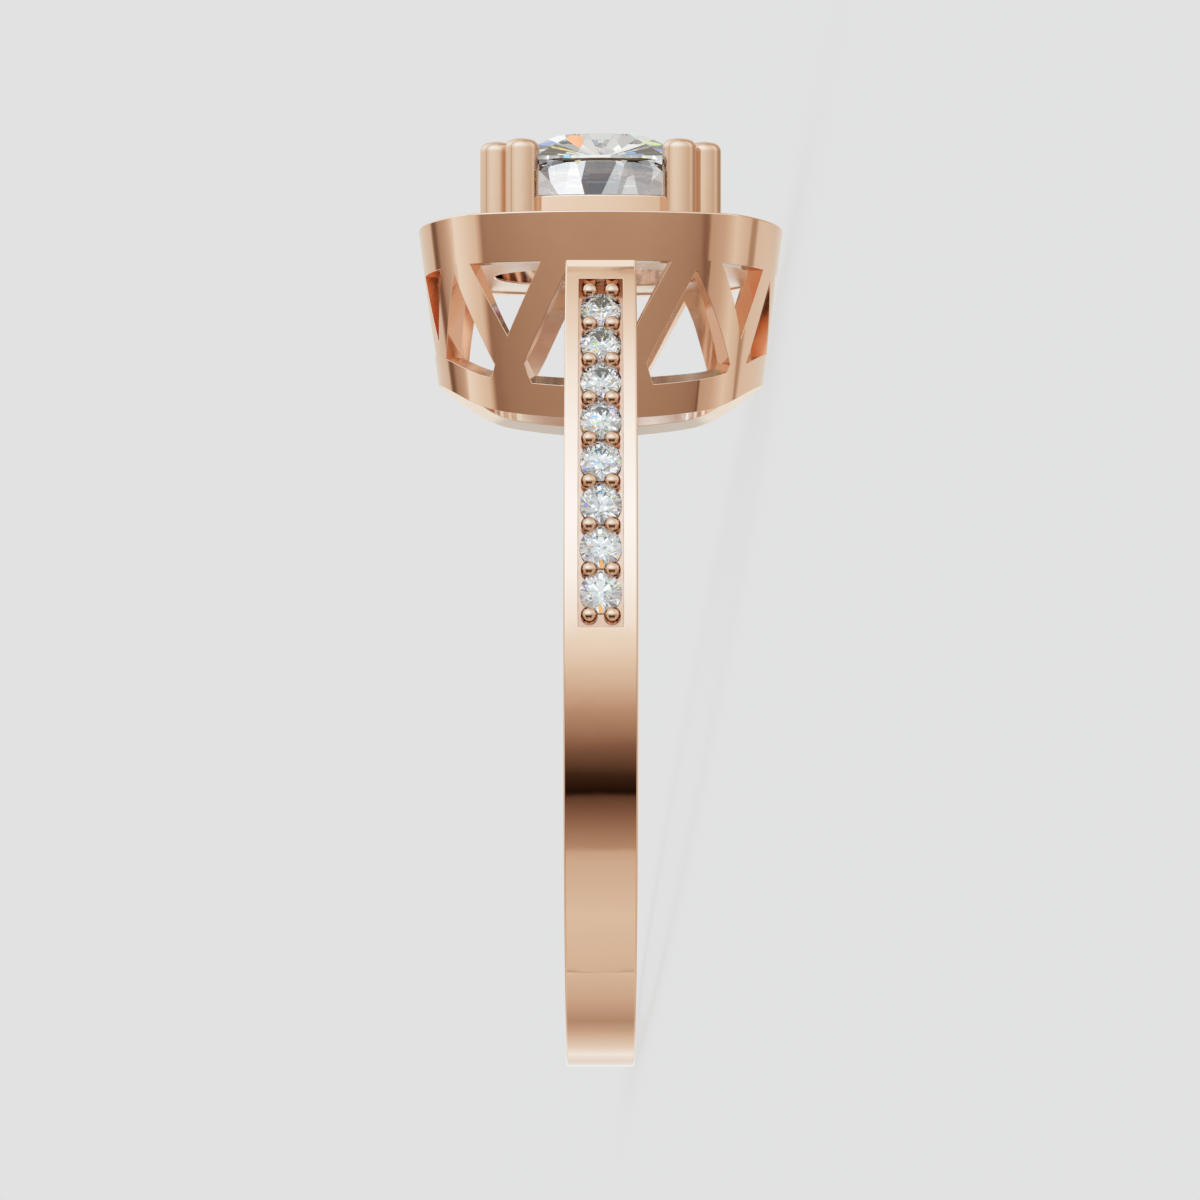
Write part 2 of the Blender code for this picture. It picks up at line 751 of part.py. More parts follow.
def centre_stone_place():
    height = RIM_TOP + STONE_ABOVE_RIM
    return placed(Vector((height, 0.0, 0.0)), Vector((1.0, 0.0, 0.0)), Vector((0.0, 0.0, -1.0)))


def boolean(thing, operation, other):
    """Cuts or joins a helper, whose round sides are shaded smooth."""
    other.data.shade_smooth()
    other.data.set_sharp_from_angle(angle=SHARP_ANGLE)
    step = thing.modifiers.new(other.name, "BOOLEAN")
    step.operation = operation
    step.solver = "EXACT"
    step.object = other


def small_stone_places():
    """Names and matrices of the shoulders' and the halo's stones."""
    stones, _ = channel_turns()
    places = []
    for word, side in (("near", -1.0), ("far", 1.0)):
        row = shoulder_places(stones, side, 0.0, SHOULDER_SETTING_DEPTH)
        places += [(f"shoulder_stone_{word}_{index + 1}", place) for index, place in enumerate(row)]
    round_row = halo_places(HALO_STONES, 0.5, 0.0, HALO_SETTING_DEPTH)
    places += [(f"halo_stone_{index + 1:02d}", place) for index, place in enumerate(round_row)]
    return places


def bead_shapes():
    """All the bead prongs: pairs along the shoulders and pairs round the halo."""
    _, beads = channel_turns()
    shoulder_root = SHOULDER_CHANNEL_DEPTH - SHOULDER_SETTING_DEPTH + JOIN
    halo_root = HALO_FLOOR_DEPTH - HALO_SETTING_DEPTH + JOIN
    shoulder_bead = bead_mesh(
        "shoulder_bead", SHOULDER_BEAD_RADIUS, SHOULDER_BEAD_POST, SHOULDER_BEAD_LIFT, shoulder_root
    )
    halo_bead = bead_mesh(
        "halo_bead", HALO_BEAD_RADIUS, HALO_BEAD_POST, HALO_BEAD_LIFT, halo_root
    )
    shoulder_row = []
    halo_row = []
    for side in (-1.0, 1.0):
        across = side * SHOULDER_BEAD_ACROSS
        for end in (-1.0, 1.0):
            shoulder_row += shoulder_places(beads, end, across, SHOULDER_SETTING_DEPTH)
        halo_row += halo_places(HALO_STONES, 0.0, side * HALO_BEAD_ACROSS, HALO_SETTING_DEPTH)
    return copies(shoulder_bead, shoulder_row), copies(halo_bead, halo_row)


def ring_metal(group, helpers):
    """Cuts and joins the soldered metal."""
    metal = add_mesh("ring_metal", head_body(), group)
    metal.data.shade_smooth()
    metal.data.set_sharp_from_angle(angle=SHARP_ANGLE)
    boolean(metal, "DIFFERENCE", add_helper("openings", openings_cutter(), helpers))
    boolean(metal, "UNION", add_helper("shank", shank_body(), helpers))
    for word, side in (("near", -1.0), ("far", 1.0)):
        channel = add_helper(f"channel_{word}", channel_cutter(side), helpers)
        boolean(metal, "DIFFERENCE", channel)
    seats = {
        "shoulder": small_stone_mesh("shoulder_seat", SHOULDER_STONE_RADIUS, SEAT_CLEARANCE),
        "halo": small_stone_mesh("halo_seat", HALO_STONE_RADIUS, SEAT_CLEARANCE),
    }
    for kind, seat in seats.items():
        places = [place for name, place in small_stone_places() if name.startswith(kind)]
        seat_room = add_helper(f"{kind}_seats", copies(seat, places), helpers)
        boolean(metal, "DIFFERENCE", seat_room)
    boolean(metal, "UNION", add_helper("prongs", prong_shape(), helpers))
    stone_room = add_helper("centre_seat", centre_stone_shape(SEAT_CLEARANCE), helpers)
    stone_room.matrix_local = centre_stone_place()
    boolean(metal, "DIFFERENCE", stone_room)
    for name, beads in zip(("shoulder_beads", "halo_beads"), bead_shapes()):
        boolean(metal, "UNION", add_helper(name, beads, helpers))
    boolean(metal, "DIFFERENCE", add_helper("finger_hole", finger_cutter(), helpers))
    return metal


def stones(group):
    """The centre stone and the small stones, each an object of its own."""
    clear = diamond()
    centre = add_mesh("centre_stone", centre_stone_shape(), group)
    centre.matrix_local = centre_stone_place()
    centre.data.materials.append(clear)
    meshes = {
        "shoulder": small_stone_mesh("shoulder_stone", SHOULDER_STONE_RADIUS),
        "halo": small_stone_mesh("halo_stone", HALO_STONE_RADIUS),
    }
    for mesh in meshes.values():
        mesh.materials.append(clear)
    for name, place in small_stone_places():
        stone = bpy.data.objects.new(name, meshes[name.split("_")[0]])
        stone.matrix_local = place
        group.objects.link(stone)


def corners_of(things):
    """Every corner of some objects, as their modifiers leave them."""
    graph = bpy.context.evaluated_depsgraph_get()
    corners = []
    for thing in things:
        evaluated = thing.evaluated_get(graph)
        corners += [thing.matrix_world @ vert.co for vert in evaluated.data.vertices]
    return corners


def lay_down(group, helpers, metal):
    """Tilts all the pieces about an empty until the ring rests on z = 0."""
    bpy.context.view_layer.update()
    corners = corners_of([metal])
    heel = min((co for co in corners if co.x < 0.0), key=lambda co: (round(co.z / MERGE), co.x))
    tilt = max(math.atan2(heel.z - co.z, co.x - heel.x) for co in corners if co.x > 0.0)
    turn = Matrix.Rotation(-tilt, 4, "Y")
    lying = [turn @ co for co in corners_of(group.objects)]
    middle = [(min(co[axis] for co in lying) + max(co[axis] for co in lying)) / 2.0 for axis in (0, 1)]
    low = min(co.z for co in lying)
    base = bpy.data.objects.new("ring", None)
    group.objects.link(base)
    for thing in list(group.objects) + list(helpers.objects):
        if thing is not base:
            thing.parent = base
    base.rotation_euler = (0.0, -tilt, 0.0)
    base.location = (-middle[0], -middle[1], -low)
    bpy.context.view_layer.update()


def build():
    clear_scene()
    group = new_collection("halo_engagement_ring")
    helpers = new_collection("ring_cutters")
    metal = ring_metal(group, helpers)
    metal.data.materials.append(rose_gold())
    stones(group)
    lay_down(group, helpers, metal)


build()
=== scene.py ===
"""Looks of the halo engagement ring: polished rose gold and brilliants in a pale studio.

The pieces are modelled in millimetres round the middle of the finger hole, as the solids are:
+X runs up through the head, Y is the depth from the near shoulder to the far one, and Z runs
along the finger hole. The frame's own stones then say how the ring lies on its side.
"""

import math

import bmesh
import bpy
from mathutils import Matrix, Vector

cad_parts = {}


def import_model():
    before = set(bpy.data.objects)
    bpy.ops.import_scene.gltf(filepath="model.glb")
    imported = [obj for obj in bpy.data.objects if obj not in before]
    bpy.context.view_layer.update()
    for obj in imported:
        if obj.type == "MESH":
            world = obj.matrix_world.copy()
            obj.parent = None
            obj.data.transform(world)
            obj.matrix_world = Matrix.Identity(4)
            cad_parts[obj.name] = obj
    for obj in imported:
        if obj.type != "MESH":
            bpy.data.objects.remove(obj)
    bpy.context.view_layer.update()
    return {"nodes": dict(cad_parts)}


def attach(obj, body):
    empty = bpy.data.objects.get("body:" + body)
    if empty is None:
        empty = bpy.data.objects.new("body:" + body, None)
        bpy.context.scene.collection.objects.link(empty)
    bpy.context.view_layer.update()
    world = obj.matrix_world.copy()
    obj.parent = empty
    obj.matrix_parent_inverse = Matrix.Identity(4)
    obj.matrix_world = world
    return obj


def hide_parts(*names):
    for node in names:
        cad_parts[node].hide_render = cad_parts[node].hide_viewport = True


MM = 0.001
X, Y, Z = Vector((1.0, 0.0, 0.0)), Vector((0.0, 1.0, 0.0)), Vector((0.0, 0.0, 1.0))

# Finger hole, shank and shoulders
FINGER_RADIUS = 8.55
SHANK_WIDTH = 1.8
SHANK_OUTER_RADIUS = 9.95
SHOULDER_REACH = 14.05
SHOULDER_TOP = 11.32
SHOULDER_LIP = 0.18
LIP_LEAN = math.radians(27.0)
SHANK_EDGE = 0.06
OUTLINE_STEP = math.radians(1.5)

# Head seen from above: a cushion of arcs, which narrows downwards
HEAD_HALF_LENGTH = 4.65
HEAD_HALF_WIDTH = 4.98
HEAD_END_RADIUS = 9.0
HEAD_SIDE_RADIUS = 6.0
HEAD_CORNER_RADIUS = 1.8
END_DRAFT = math.radians(5.0)
SIDE_DRAFT = math.radians(7.4)
RIM_TOP = 12.77
PLATE_UNDERSIDE = 11.52

# Pierced basket wall
BASKET_WALL = 0.45
OPENING_PAIRS = 9
OPENING_PHASE = 0.82
OPENING_TOP = 11.47
PATTERN_LEVEL = 10.29
APEX_DROP = 0.19
STRUT_WIDTH = 0.7
STRUT_LEAN = math.radians(27.2)
BOTTOM_BAR = 0.84
FOOT_FADE = 1.2
UPRIGHT_HALF_WIDTH = 1.25
UPRIGHT_FOOT_HALF_WIDTH = 1.05
UPRIGHT_FOOT_RISE = 0.55
PIERCED_EDGE = 0.015
FLAT_MARGIN = 4.0
FLAT_SPARE = 0.4

# Halo plate and collet
HALO_RIM = 0.22
HALO_CHANNEL_WIDTH = 1.08
HALO_FLOOR_DEPTH = 0.83
GALLERY_DROP = 0.08
RIM_EDGE = 0.05
COLLET_INSIDE_ROW = 8
PLATE_UNDERSIDE_ROW = 9
PLATE_HOLE_HALF_LENGTH = 2.23
PLATE_HOLE_HALF_WIDTH = 2.88
COLLET_HALF_LENGTH = 2.7
COLLET_HALF_WIDTH = 3.15
COLLET_WALL = 0.3
COLLET_RISE = 0.68

# Prongs, two at each corner of the collet
PRONG_RADIUS = 0.455
PRONG_RISE = 2.2
PRONG_DOME = 0.22
PRONG_CROWN = 0.05
PRONG_ROOT = 0.3
PRONG_DOME_TURN = math.pi * 0.44
PRONG_TIP = (0.6, 0.4)
PRONG_PLACES = ((2.09, 2.44), (2.77, 1.83))

# Cuts of the stones: places on them as (share of the outline, share of the height)
FOLDS = 8
STAR = (0.78, 0.6)
ROUND_CUT = {"table": 0.56, "lower": (0.2, 0.82)}
ROUND_HEIGHTS = {"crown": 0.31, "girdle": 0.05, "pavilion": 0.86}
CUSHION_CUT = {
    "table": 0.55,
    "lower": (0.25, 0.79),
    "phase": math.pi / 8.0,
    "splits": (((0.93, -0.26), (0.3, -1.78)), ((1.0, -0.02), (0.8, 0.27))),
}

# Centre stone
STONE_HALF_LENGTH = 2.72
STONE_HALF_WIDTH = 3.06
STONE_SQUARENESS = 2.5
STONE_CROWN = 0.79
STONE_GIRDLE = 0.1
STONE_PAVILION = 2.45
STONE_HEIGHT = 14.5

# Shoulder stones and halo stones with their beads
SHOULDER_STONES = 8
SHOULDER_STONE_RADIUS = 0.51
SHOULDER_STONE_PITCH = 1.118
SHOULDER_CHANNEL_WIDTH = 1.1
SHOULDER_CHANNEL_DEPTH = 0.72
SHOULDER_SETTING_DEPTH = 0.22
SHOULDER_CHANNEL_START = math.radians(98.4)
SHOULDER_CHANNEL_END_ROOM = 0.31
CHANNEL_EDGE = 0.02
SEAT_DEPTH = 0.36
SEAT_THICKNESS = 0.12
SEAT_HOLE_RADIUS = 0.42
SEAT_STEP = 0.25
SEAT_OVERLAP = 0.04
SHOULDER_BEAD = {"radius": 0.21, "post": 0.17, "lift": 0.07, "root": 0.3}
SHOULDER_BEAD_ACROSS = 0.28
HALO_STONES = 20
HALO_STONE_RADIUS = 0.49
HALO_SETTING_DEPTH = 0.35
HALO_BEAD = {"radius": 0.16, "post": 0.08, "lift": 0.15, "root": 0.5}
HALO_BEAD_ACROSS = 0.24
SPARKLE_TURN = 2.4

# Fineness of the round shapes
HEAD_STEPS = 180
OPENING_FOOT_STEPS = 24
FINGER_STEPS = 153
WALK_STEPS = 720
ROUND_SIDES = 32
CUSHION_SIDES = 64
BEAD_SIDES = 16
BEAD_STEPS = 9
PRONG_DOME_STEPS = 7
RIM_ROUNDS = 3
CHANNEL_ROUNDS = 2
CLOSE = 0.0001
SMALL_TURN = math.radians(0.05)
SMALL_RISE = 0.06

# What makes two faces one surface, and a face flat, upright, or turned one way
SHARP_ANGLE = math.radians(40.0)
SMOOTH_REACH = 0.64
FLAT_REACH = 0.985
LIES_FLAT = 0.99
STANDS_UP = 0.05
FACES_ACROSS = 0.3
FACES_ALONG = 0.5
FACES_OUT = 0.9

# Slots of the basket's materials: real finishes outside and on the cuts, lighter copies of the gold with
# painted light underneath and inside
OUTSIDE, CUT, UNDERNEATH, INSIDE = 0, 1, 2, 3

# Rose gold: colour, roughness, height of the polish's waves and strength of its marks. The underside and
# inner rows are lighter copies of the gold, painted light; the seat and turned rows are darker copies,
# painted shade.
GOLD_FINISHES_AND_PAINTED_LIGHT = {
    "polished_rose_gold": ((0.86, 0.6, 0.45), 0.02, 0.25, 0.05),
    "satin_rose_gold": ((0.88, 0.57, 0.41), 0.06, 0.25, 0.08),
    # Painted light: a lighter copy of the gold for the basket's underside
    "pale_rose_gold": ((1.0, 0.82, 0.7), 0.3, 0.25, 0.06),
    # Painted light: a lighter copy of the gold for the basket's inner faces
    "inner_rose_gold": ((1.0, 0.79, 0.64), 0.14, 0.25, 0.06),
    # Painted shade: a darker copy of the gold for the channel floors under the stones
    "seat_rose_gold": ((0.76, 0.48, 0.34), 0.12, 0.25, 0.1),
    # Painted shade: a darker copy of the gold for the prongs and beads
    "turned_painted_shade_rose_gold": ((0.77, 0.52, 0.375), 0.03, 0.25, 0.05),
}
# The basket's slots in order; the underside and inner copies carry painted light
BASKET_GOLDS_WITH_PAINTED_LIGHT = ("polished_rose_gold", "satin_rose_gold", "pale_rose_gold", "inner_rose_gold")
SHANK_FINISHES = ("polished_rose_gold",)
# The channel floors take the darker copy of the gold, painted shade
SEAT_PAINTED_SHADE_GOLD = ("seat_rose_gold",)
POLISH_SCALE = 900.0
POLISH_DETAIL = 2.0
POLISH_DEPTH = 0.01
MARKS_FINER = 6.0

# Diamond, with a warm tint painted onto its surface reflections
DIAMOND_IOR = 2.42
DIAMOND_WARM_REFLECTION_TINT = (1.0, 0.84, 0.7, 1.0)

# Camera, in the ring's own directions
CAMERA_RISE = 2.7
CAMERA_DISTANCE = 80.0
CAMERA_ASIDE = 0.019
CAMERA_LENS = 87.6
SENSOR_WIDTH = 36.0
CLIP_START = 1.0


class Cushion:
    """A closed outline of four bulged sides and four round corners, in the Y-Z plane."""

    def __init__(self, half_length, half_width):
        self.end_centre = half_length - HEAD_END_RADIUS
        self.side_centre = half_width - HEAD_SIDE_RADIUS
        self.corner = self.find_corner()
        across, along = self.corner
        self.end_turn = math.atan2(across, along - self.end_centre)
        self.corner_turn = math.pi / 2 - math.atan2(along, across - self.side_centre)
        self.end_length = HEAD_END_RADIUS * self.end_turn
        self.corner_length = HEAD_CORNER_RADIUS * (self.corner_turn - self.end_turn)
        side_length = HEAD_SIDE_RADIUS * (math.pi / 2 - self.corner_turn)
        self.quarter = self.end_length + self.corner_length + side_length
        self.perimeter = 4.0 * self.quarter

    def find_corner(self):
        """Where the corner arc's centre lies, touching an end arc and a side arc inside."""
        end_reach = HEAD_END_RADIUS - HEAD_CORNER_RADIUS
        side_reach = HEAD_SIDE_RADIUS - HEAD_CORNER_RADIUS
        apart = math.hypot(self.end_centre, self.side_centre)
        along_line = (apart**2 + end_reach**2 - side_reach**2) / (2.0 * apart)
        off_line = math.sqrt(end_reach**2 - along_line**2)
        step_across = self.side_centre / apart
        step_along = -self.end_centre / apart
        for side in (-1.0, 1.0):
            across = along_line * step_across + side * off_line * step_along
            along = self.end_centre + along_line * step_along - side * off_line * step_across
            if across > 0.0 and along > 0.0:
                return across, along
        raise ValueError("the head's arcs don't meet in a corner")

    def quarter_at(self, distance):
        """Place and outward direction at a distance from the middle of an end."""
        beyond_end = distance - self.end_length
        beyond_corner = beyond_end - self.corner_length
        if beyond_end <= 0.0:
            turn = distance / HEAD_END_RADIUS
            centre, radius = (0.0, self.end_centre), HEAD_END_RADIUS
        elif beyond_corner <= 0.0:
            turn = self.end_turn + beyond_end / HEAD_CORNER_RADIUS
            centre, radius = self.corner, HEAD_CORNER_RADIUS
        else:
            turn = self.corner_turn + beyond_corner / HEAD_SIDE_RADIUS
            centre, radius = (self.side_centre, 0.0), HEAD_SIDE_RADIUS
        outward = (math.sin(turn), math.cos(turn))
        return (centre[0] + radius * outward[0], centre[1] + radius * outward[1]), outward

    def at(self, distance, inset=0.0):
        """Point and outward direction at a distance round from the middle of the near end."""
        quarters, rest = divmod(distance % self.perimeter, self.quarter)
        backwards = quarters in (1.0, 3.0)
        place, outward = self.quarter_at(self.quarter - rest if backwards else rest)
        side = 1.0 if quarters < 2.0 else -1.0
        near = 1.0 if quarters in (0.0, 3.0) else -1.0
        normal = Vector((0.0, -near * outward[1], -side * outward[0]))
        point = Vector((0.0, -near * place[1], -side * place[0]))
        return point - normal * inset, normal


def basket_outline(height):
    """The head's outer outline at a height above the finger hole's middle."""
    below = RIM_TOP - height
    return Cushion(
        HEAD_HALF_LENGTH - below * math.tan(END_DRAFT),
        HEAD_HALF_WIDTH - below * math.tan(SIDE_DRAFT),
    )


def wall_point(share, height, depth):
    """A place in the basket wall, at a share of its way round from the near end's middle."""
    outline = basket_outline(height)
    point, _ = outline.at(share * outline.perimeter, depth)
    return point + X * height


def wall_frame(share, height):
    """Directions round the wall, up it and out of it."""
    outline = basket_outline(height)
    _, outward = outline.at(share * outline.perimeter)
    upward = wall_point(share, height + SMALL_RISE, 0.0) - wall_point(share, height - SMALL_RISE, 0.0)
    round_it = upward.cross(outward).normalized()
    out = round_it.cross(upward).normalized()
    return round_it, out.cross(round_it), out


def hole_height(share, depth):
    """Height at which the finger hole's round surface cuts the wall at a depth."""
    along = wall_point(share, FINGER_RADIUS, depth).y
    return math.sqrt(FINGER_RADIUS**2 - along**2)


def superellipse(half_length, half_width, squareness, turn):
    """Distance from the middle to the outline at a turn from its long axis Y."""
    along = abs(math.cos(turn)) / half_length
    across = abs(math.sin(turn)) / half_width
    return (along**squareness + across**squareness) ** (-1.0 / squareness)


# Placing in the frame

def mean_corner(node):
    """The mean of a solid's corners."""
    corners = [vert.co for vert in node.data.vertices]
    return sum(corners, Vector()) / len(corners)


def ring_axes(place):
    """The ring's own directions in the frame: up through the head, deep, and along the hole."""
    turn = place.to_3x3().normalized()
    return [turn @ axis for axis in (X, Y, Z)]


def ring_place(nodes):
    """The matrix that lays the ring down as the frame's stones lie, from millimetres."""
    row = mean_corner(nodes[f"shoulder_stone_near_{SHOULDER_STONES}"])
    row -= mean_corner(nodes["shoulder_stone_near_1"])
    tilt = math.atan2(row.z, row.x)
    turn = Matrix.Rotation(-tilt, 4, "Y")
    up = turn @ X
    stone = nodes["centre_stone"]
    table = max(vert.co.dot(up) for vert in stone.data.vertices)
    middle = mean_corner(stone)
    origin = middle + up * (table - (STONE_HEIGHT + STONE_CROWN) * MM - middle.dot(up))
    return Matrix.Translation(origin) @ turn @ Matrix.Scale(MM, 4)


# Normals that keep flat faces flat and their small edges round

def settle_normals(shape, is_main):
    """Gives each face corner a normal that follows the main faces round it."""
    layer = shape.loops.layers.float_vector.new("settled")
    shape.normal_update()
    for face in shape.faces:
        for loop in face.loops:
            reach = FLAT_REACH if is_main(face) else SMOOTH_REACH
            beside = [near for near in loop.vert.link_faces if near.normal.dot(face.normal) > reach]
            leading = [near for near in beside if is_main(near)] or beside or [face]
            total = sum((near.normal * (near.calc_area() + CLOSE) for near in leading), Vector())
            loop[layer] = total.normalized()


def turn_settled(shape, frames):
    """Turns settled normals into the three directions that each corner has in frames."""
    layer = shape.loops.layers.float_vector["settled"]
    for face in shape.faces:
        for loop in face.loops:
            first, second, third = frames[loop.vert]
            flat = loop[layer]
            loop[layer] = (first * flat.x + second * flat.y + third * flat.z).normalized()


def is_flat_or_upright(face):
    """Whether a face of a flat plate is no part of a rounded edge."""
    lean = abs(face.normal.z)
    return lean > LIES_FLAT or lean < STANDS_UP


def settled_piece(name, shape, place):
    """Places a shape as an object, and makes its settled normals the mesh's own."""
    turn_settled(shape, dict.fromkeys(shape.verts, ring_axes(place)))
    bmesh.ops.transform(shape, matrix=place, verts=shape.verts[:])
    mesh = as_mesh(name, shape)
    settled = mesh.attributes["settled"]
    normals = [Vector(item.vector).normalized() for item in settled.data]
    mesh.attributes.remove(settled)
    mesh.shade_smooth()
    mesh.normals_split_custom_set(normals)
    return add_object(name, mesh)


def as_mesh(name, shape):
    """A bmesh as a mesh; the bmesh goes."""
    mesh = bpy.data.meshes.new(name)
    shape.to_mesh(mesh)
    shape.free()
    return mesh


def smooth_but_sharp(mesh):
    """Shades a mesh smooth, apart from its sharp edges."""
    mesh.shade_smooth()
    mesh.set_sharp_from_angle(angle=SHARP_ANGLE)
    return mesh


def of_kind(parts, kind):
    return [part for part in parts if isinstance(part, kind)]


def everything(shape):
    return shape.verts[:] + shape.edges[:] + shape.faces[:]


def round_edges(shape, edges, radius, rounds):
    """Rounds edges off, and gives the new faces."""
    made = bmesh.ops.bevel(
        shape, geom=edges, offset=radius, segments=rounds, profile=0.5, affect="EDGES"
    )
    return set(made["faces"])


def add_object(name, data):
    thing = bpy.data.objects.new(name, data)
    bpy.context.scene.collection.objects.link(thing)
    return thing


def plain_mesh(name, thing):
    """The evaluated shape of an object as a new mesh; the object goes."""
    graph = bpy.context.evaluated_depsgraph_get()
    mesh = bpy.data.meshes.new_from_object(thing.evaluated_get(graph))
    mesh.name = name
    bpy.data.objects.remove(thing)
    return mesh


def flat_plate(outlines, thickness, edge, rounds):
    """A flat plate with holes and rounded edges, centred on Z, as a bmesh."""
    curve = bpy.data.curves.new("plate", "CURVE")
    curve.dimensions = "2D"
    curve.fill_mode = "BOTH"
    curve.extrude = thickness / 2.0 - edge
    curve.bevel_depth = edge
    curve.bevel_resolution = rounds
    curve.offset = -edge
    for outline in outlines:
        spline = curve.splines.new("POLY")
        spline.points.add(len(outline) - 1)
        for point, (across, up) in zip(spline.points, outline):
            point.co = (across, up, 0.0, 1.0)
        spline.use_cyclic_u = True
    mesh = plain_mesh("plate", add_object("plate", curve))
    shape = bmesh.new()
    shape.from_mesh(mesh)
    bpy.data.meshes.remove(mesh)
    bmesh.ops.remove_doubles(shape, verts=shape.verts[:], dist=CLOSE)
    return shape


def slice_at(shape, point, normal, keep="both"):
    """Cuts a shape along a plane, drops one side of it if asked to, and gives the cut's parts."""
    made = bmesh.ops.bisect_plane(
        shape,
        geom=everything(shape),
        plane_co=point,
        plane_no=normal,
        dist=CLOSE,
        clear_outer=keep == "inner",
        clear_inner=keep == "outer",
    )
    return made["geom_cut"]


# Basket

def opening_outlines():
    """The basket's openings rolled out flat: upright pentagons between inverted triangles."""
    around = basket_outline(PATTERN_LEVEL).perimeter
    period = around / OPENING_PAIRS
    slope = 1.0 / math.tan(STRUT_LEAN)
    apex = OPENING_TOP - APEX_DROP
    strut_across = STRUT_WIDTH / math.cos(STRUT_LEAN)
    tip = apex - (period / 2.0 - strut_across) * slope
    foot = apex - UPRIGHT_HALF_WIDTH * slope
    foot_slope = UPRIGHT_FOOT_RISE / (UPRIGHT_HALF_WIDTH - UPRIGHT_FOOT_HALF_WIDTH)
    outlines = []
    for pair in range(-1, OPENING_PAIRS + 1):
        middle = OPENING_PHASE + pair * period
        half = (OPENING_TOP - tip) / slope
        outlines.append([(middle - half, OPENING_TOP), (middle + half, OPENING_TOP), (middle, tip)])
        middle += period / 2.0

        def top(offset):
            return apex - abs(offset) * slope

        def bottom(offset):
            bar = hole_height((middle + offset) / around, 0.0) + BOTTOM_BAR
            return max(bar, foot - (UPRIGHT_HALF_WIDTH - abs(offset)) * foot_slope)

        reach = [meeting(lambda x: top(side * x) - bottom(side * x)) for side in (-1.0, 1.0)]
        offsets = [
            -reach[0] + (reach[0] + reach[1]) * index / OPENING_FOOT_STEPS
            for index in range(OPENING_FOOT_STEPS + 1)
        ]
        outline = [(middle + offset, bottom(offset)) for offset in offsets]
        for offset in (offsets[-1], 0.0, offsets[0]):
            if top(offset) - bottom(offset) > CLOSE:
                outline.append((middle + offset, top(offset)))
        outlines.append(outline)
    return outlines


def meeting(gap):
    """How far from its middle an opening's top and bottom edges stay apart."""
    inside, outside = 0.0, UPRIGHT_HALF_WIDTH
    if gap(outside) >= 0.0:
        return outside
    while outside - inside > CLOSE:
        middle = (inside + outside) / 2.0
        if gap(middle) >= 0.0:
            inside = middle
        else:
            outside = middle
    return inside


def wall_finish_or_painted_light(face):
    """Which slot a face of the rolled-out wall takes: a real finish outside and on the cuts, a lighter
    copy with painted light underneath and inside.
    """
    if face.normal.z > FACES_ACROSS:
        return OUTSIDE
    if face.normal.y < -FACES_ALONG and face.calc_center_median().y < FINGER_RADIUS:
        return UNDERNEATH
    if face.normal.z < -FACES_ACROSS or face.normal.y > FACES_ALONG:
        return INSIDE
    return CUT


def rolled_out_wall():
    """The basket wall rolled out flat: round it along X, up it along Y, outwards along Z."""
    around = basket_outline(PATTERN_LEVEL).perimeter
    step = around / HEAD_STEPS
    margin = round(FLAT_MARGIN / step)
    columns = range(-margin, HEAD_STEPS + margin + 1)
    lower = [(column * step, hole_height(column / HEAD_STEPS, 0.0)) for column in columns]
    top = PLATE_UNDERSIDE + FLAT_SPARE
    border = lower + [(lower[-1][0], top), (lower[0][0], top)]
    shape = flat_plate([border] + opening_outlines(), BASKET_WALL, PIERCED_EDGE, rounds=1)
    slice_at(shape, Y * PLATE_UNDERSIDE, Y, "inner")
    slice_at(shape, X * 0.0, X, "outer")
    slice_at(shape, X * around, X, "inner")
    settle_normals(shape, is_flat_or_upright)
    for face in shape.faces:
        face.material_index = wall_finish_or_painted_light(face)
    for column in range(1, HEAD_STEPS):
        slice_at(shape, X * (column * step), X)
    drop_spare_corners(shape, step)
    return shape, around


def drop_spare_corners(shape, step):
    """Leaves only the columns' points along the top edge, where the halo plate joins on."""
    spare = []
    for vert in shape.verts:
        column = vert.co.x / step
        if abs(vert.co.y - PLATE_UNDERSIDE) < CLOSE and abs(column - round(column)) > CLOSE / step:
            spare.append(vert)
    bmesh.ops.dissolve_verts(shape, verts=spare)


def roll_up(shape, around):
    """Rolls the flat wall up into the basket, and cuts its foot to the finger hole's curve."""
    frames = {}
    for vert in shape.verts:
        share = vert.co.x / around
        depth = BASKET_WALL / 2.0 - vert.co.z
        low = hole_height(share, 0.0)
        height = vert.co.y
        foot_share = min(max(1.0 - (height - low - BOTTOM_BAR) / FOOT_FADE, 0.0), 1.0)
        height += (hole_height(share, depth) - low) * foot_share
        frames[vert] = wall_frame(share, height)
        vert.co = wall_point(share, height, depth)
    turn_settled(shape, frames)


